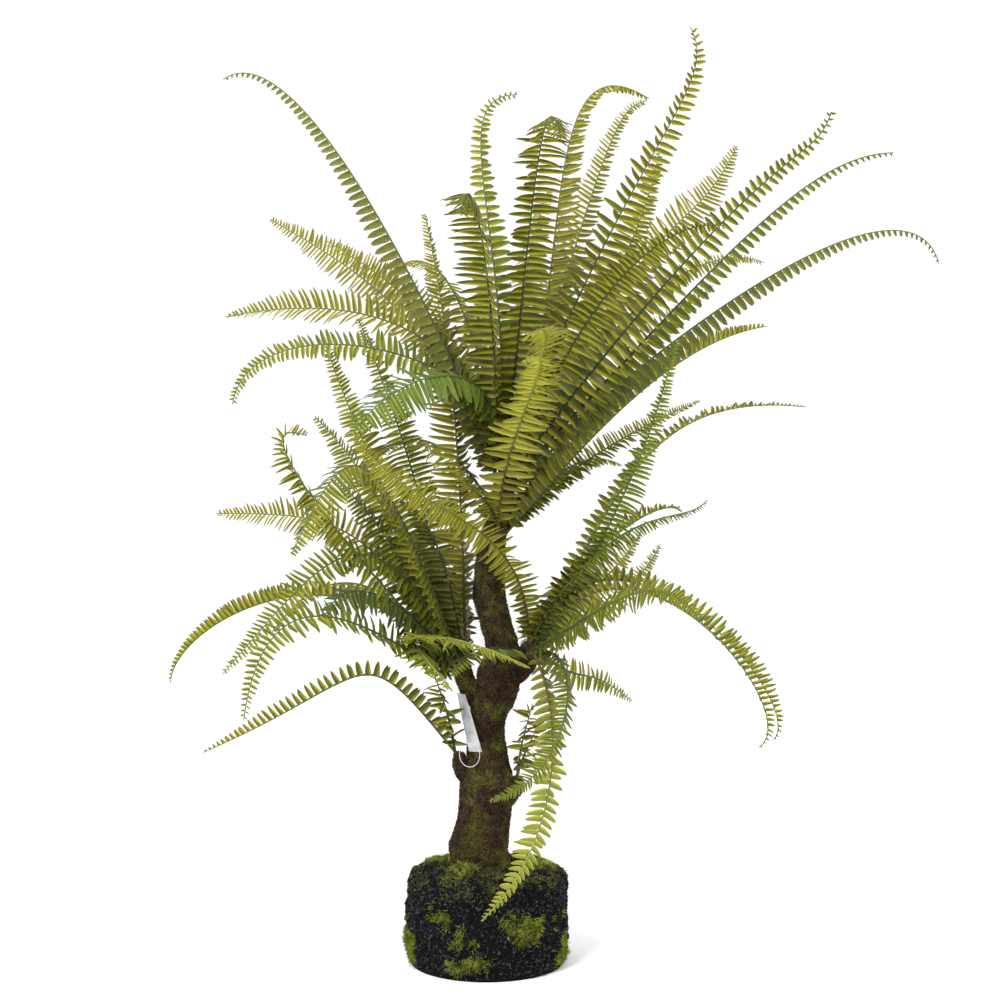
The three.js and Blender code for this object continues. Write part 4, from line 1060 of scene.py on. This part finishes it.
def tag_piece():
    """A thin blank card, slightly bowed and twisted along its length."""
    steps, across, thickness, bow = 16, 6, 0.9, 0.7
    places = np.linspace(-1, 1, across + 1)
    outline = [(place, -0.5) for place in places] + [(place, 0.5) for place in places[::-1]]
    points = []
    for t in np.linspace(0, 1, steps + 1):
        centre = TAG_FOOT + (TAG_HEAD - TAG_FOOT) * t
        wide = heading(TAG_TURNS[0] + (TAG_TURNS[1] - TAG_TURNS[0]) * t, 0)
        thick = np.array([-wide[1], wide[0], 0])
        points += [centre + wide * place * TAG_HALF_WIDTH
                   + thick * (layer * thickness - bow * (1 - place ** 2)) for place, layer in outline]
    faces = tube_faces(steps + 1, len(outline))
    tag = make_piece("swing_tag_card", points, faces, [card_finish()], smooth=False)
    settle(tag, "tag", "swing_tag")


def string_piece():
    """The tag's nylon loop: its top passes behind the tag's foot and the rest hangs before the bark."""
    centre, wide, tall, lean = np.array((-20, -26, 248)), 12.5, 12, 11
    turn, thickness, sides, steps = math.radians(-20), 0.35, 6, 48
    points = []
    for step in range(steps):
        a = 2 * math.pi * step / steps
        spot = centre + (wide * math.cos(a) * math.cos(turn),
                         wide * math.cos(a) * math.sin(turn) + lean * math.sin(a), tall * math.sin(a))
        out = np.array([math.cos(a) * math.cos(turn), math.cos(a) * math.sin(turn), math.sin(a)])
        side = np.array([-math.sin(turn), math.cos(turn), 0])
        for k in range(sides):
            b = 2 * math.pi * k / sides
            points.append(spot + (out * math.cos(b) + side * math.sin(b)) * thickness)
    loop = ring_faces(steps, sides, looped=True)
    settle(make_piece("tag_string", points, loop, [string_finish()]), "tag")


tag_piece()
string_piece()


# ---- Stage, light and camera ----
def studio():
    """A white floor, a white surround that is brighter behind and above, and two large soft lamps."""
    material, tree = new_material("white_studio_paper")
    surface(tree, principled(tree, {
        "Base Color": linear("#fdfdfd"), "Roughness": 0.9, "Specular IOR Level": 0.2}))
    size = 6000
    corners = [(x * size, y * size, 0) for x, y in ((-1, -1), (1, -1), (1, 1), (-1, 1))]
    floor = make_piece("studio_floor", corners, [(0, 1, 2, 3)], [material])
    world = bpy.data.worlds.new("white_surround")
    world.use_nodes = True
    tree = world.node_tree
    tree.nodes.clear()
    _, depth, height = add_node(tree, "ShaderNodeSeparateXYZ", {
        0: add_node(tree, "ShaderNodeTexCoord").outputs["Generated"]}).outputs
    behind = add_node(tree, "ShaderNodeMapRange", {0: depth, 1: -0.7, 2: 0.9, 3: 0.28, 4: 1.25}).outputs[0]
    overhead = add_node(tree, "ShaderNodeMapRange", {0: height, 1: 0.0, 2: 1.0, 3: 0.0, 4: 0.5}).outputs[0]
    soft = reckon(tree, "ADD", behind, overhead)
    plain = add_node(tree, "ShaderNodeLightPath").outputs["Is Camera Ray"]
    strength = add_node(tree, "ShaderNodeMix", {0: plain, 2: soft, 3: 1.1}).outputs[0]
    glow = add_node(tree, "ShaderNodeBackground", {"Color": (1, 1, 1, 1), "Strength": strength})
    add_node(tree, "ShaderNodeOutputWorld", {"Surface": glow.outputs[0]})
    scene.world = world
    for name, place, target, size, power in (
            ("key_lamp", (-1.4, -2.2, 2.6), (0, 0, 0.6), 1.2, 115),
            ("fill_lamp", (2.0, -1.8, 1.2), (0, 0, 0.5), 1.8, 30)):
        lamp = bpy.data.lights.new(name, "AREA")
        lamp.size, lamp.energy = size, power
        holder = bpy.data.objects.new(name, lamp)
        holder.location = place
        holder.rotation_euler = (Vector(target) - Vector(place)).to_track_quat("-Z", "Y").to_euler()
        scene.collection.objects.link(holder)


def camera():
    """Level with the upper crown, 2.5 m in front and tilted a little down."""
    lens = bpy.data.cameras.new("camera")
    lens.sensor_width = 36
    lens.lens = 78.3
    holder = bpy.data.objects.new("camera", lens)
    holder.location = (0.015, -2.5, 0.72)
    holder.rotation_euler = (math.radians(90 - 4.12), 0, 0)
    scene.collection.objects.link(holder)
    scene.camera = holder


studio()
camera()
scene.view_settings.view_transform = "Standard"
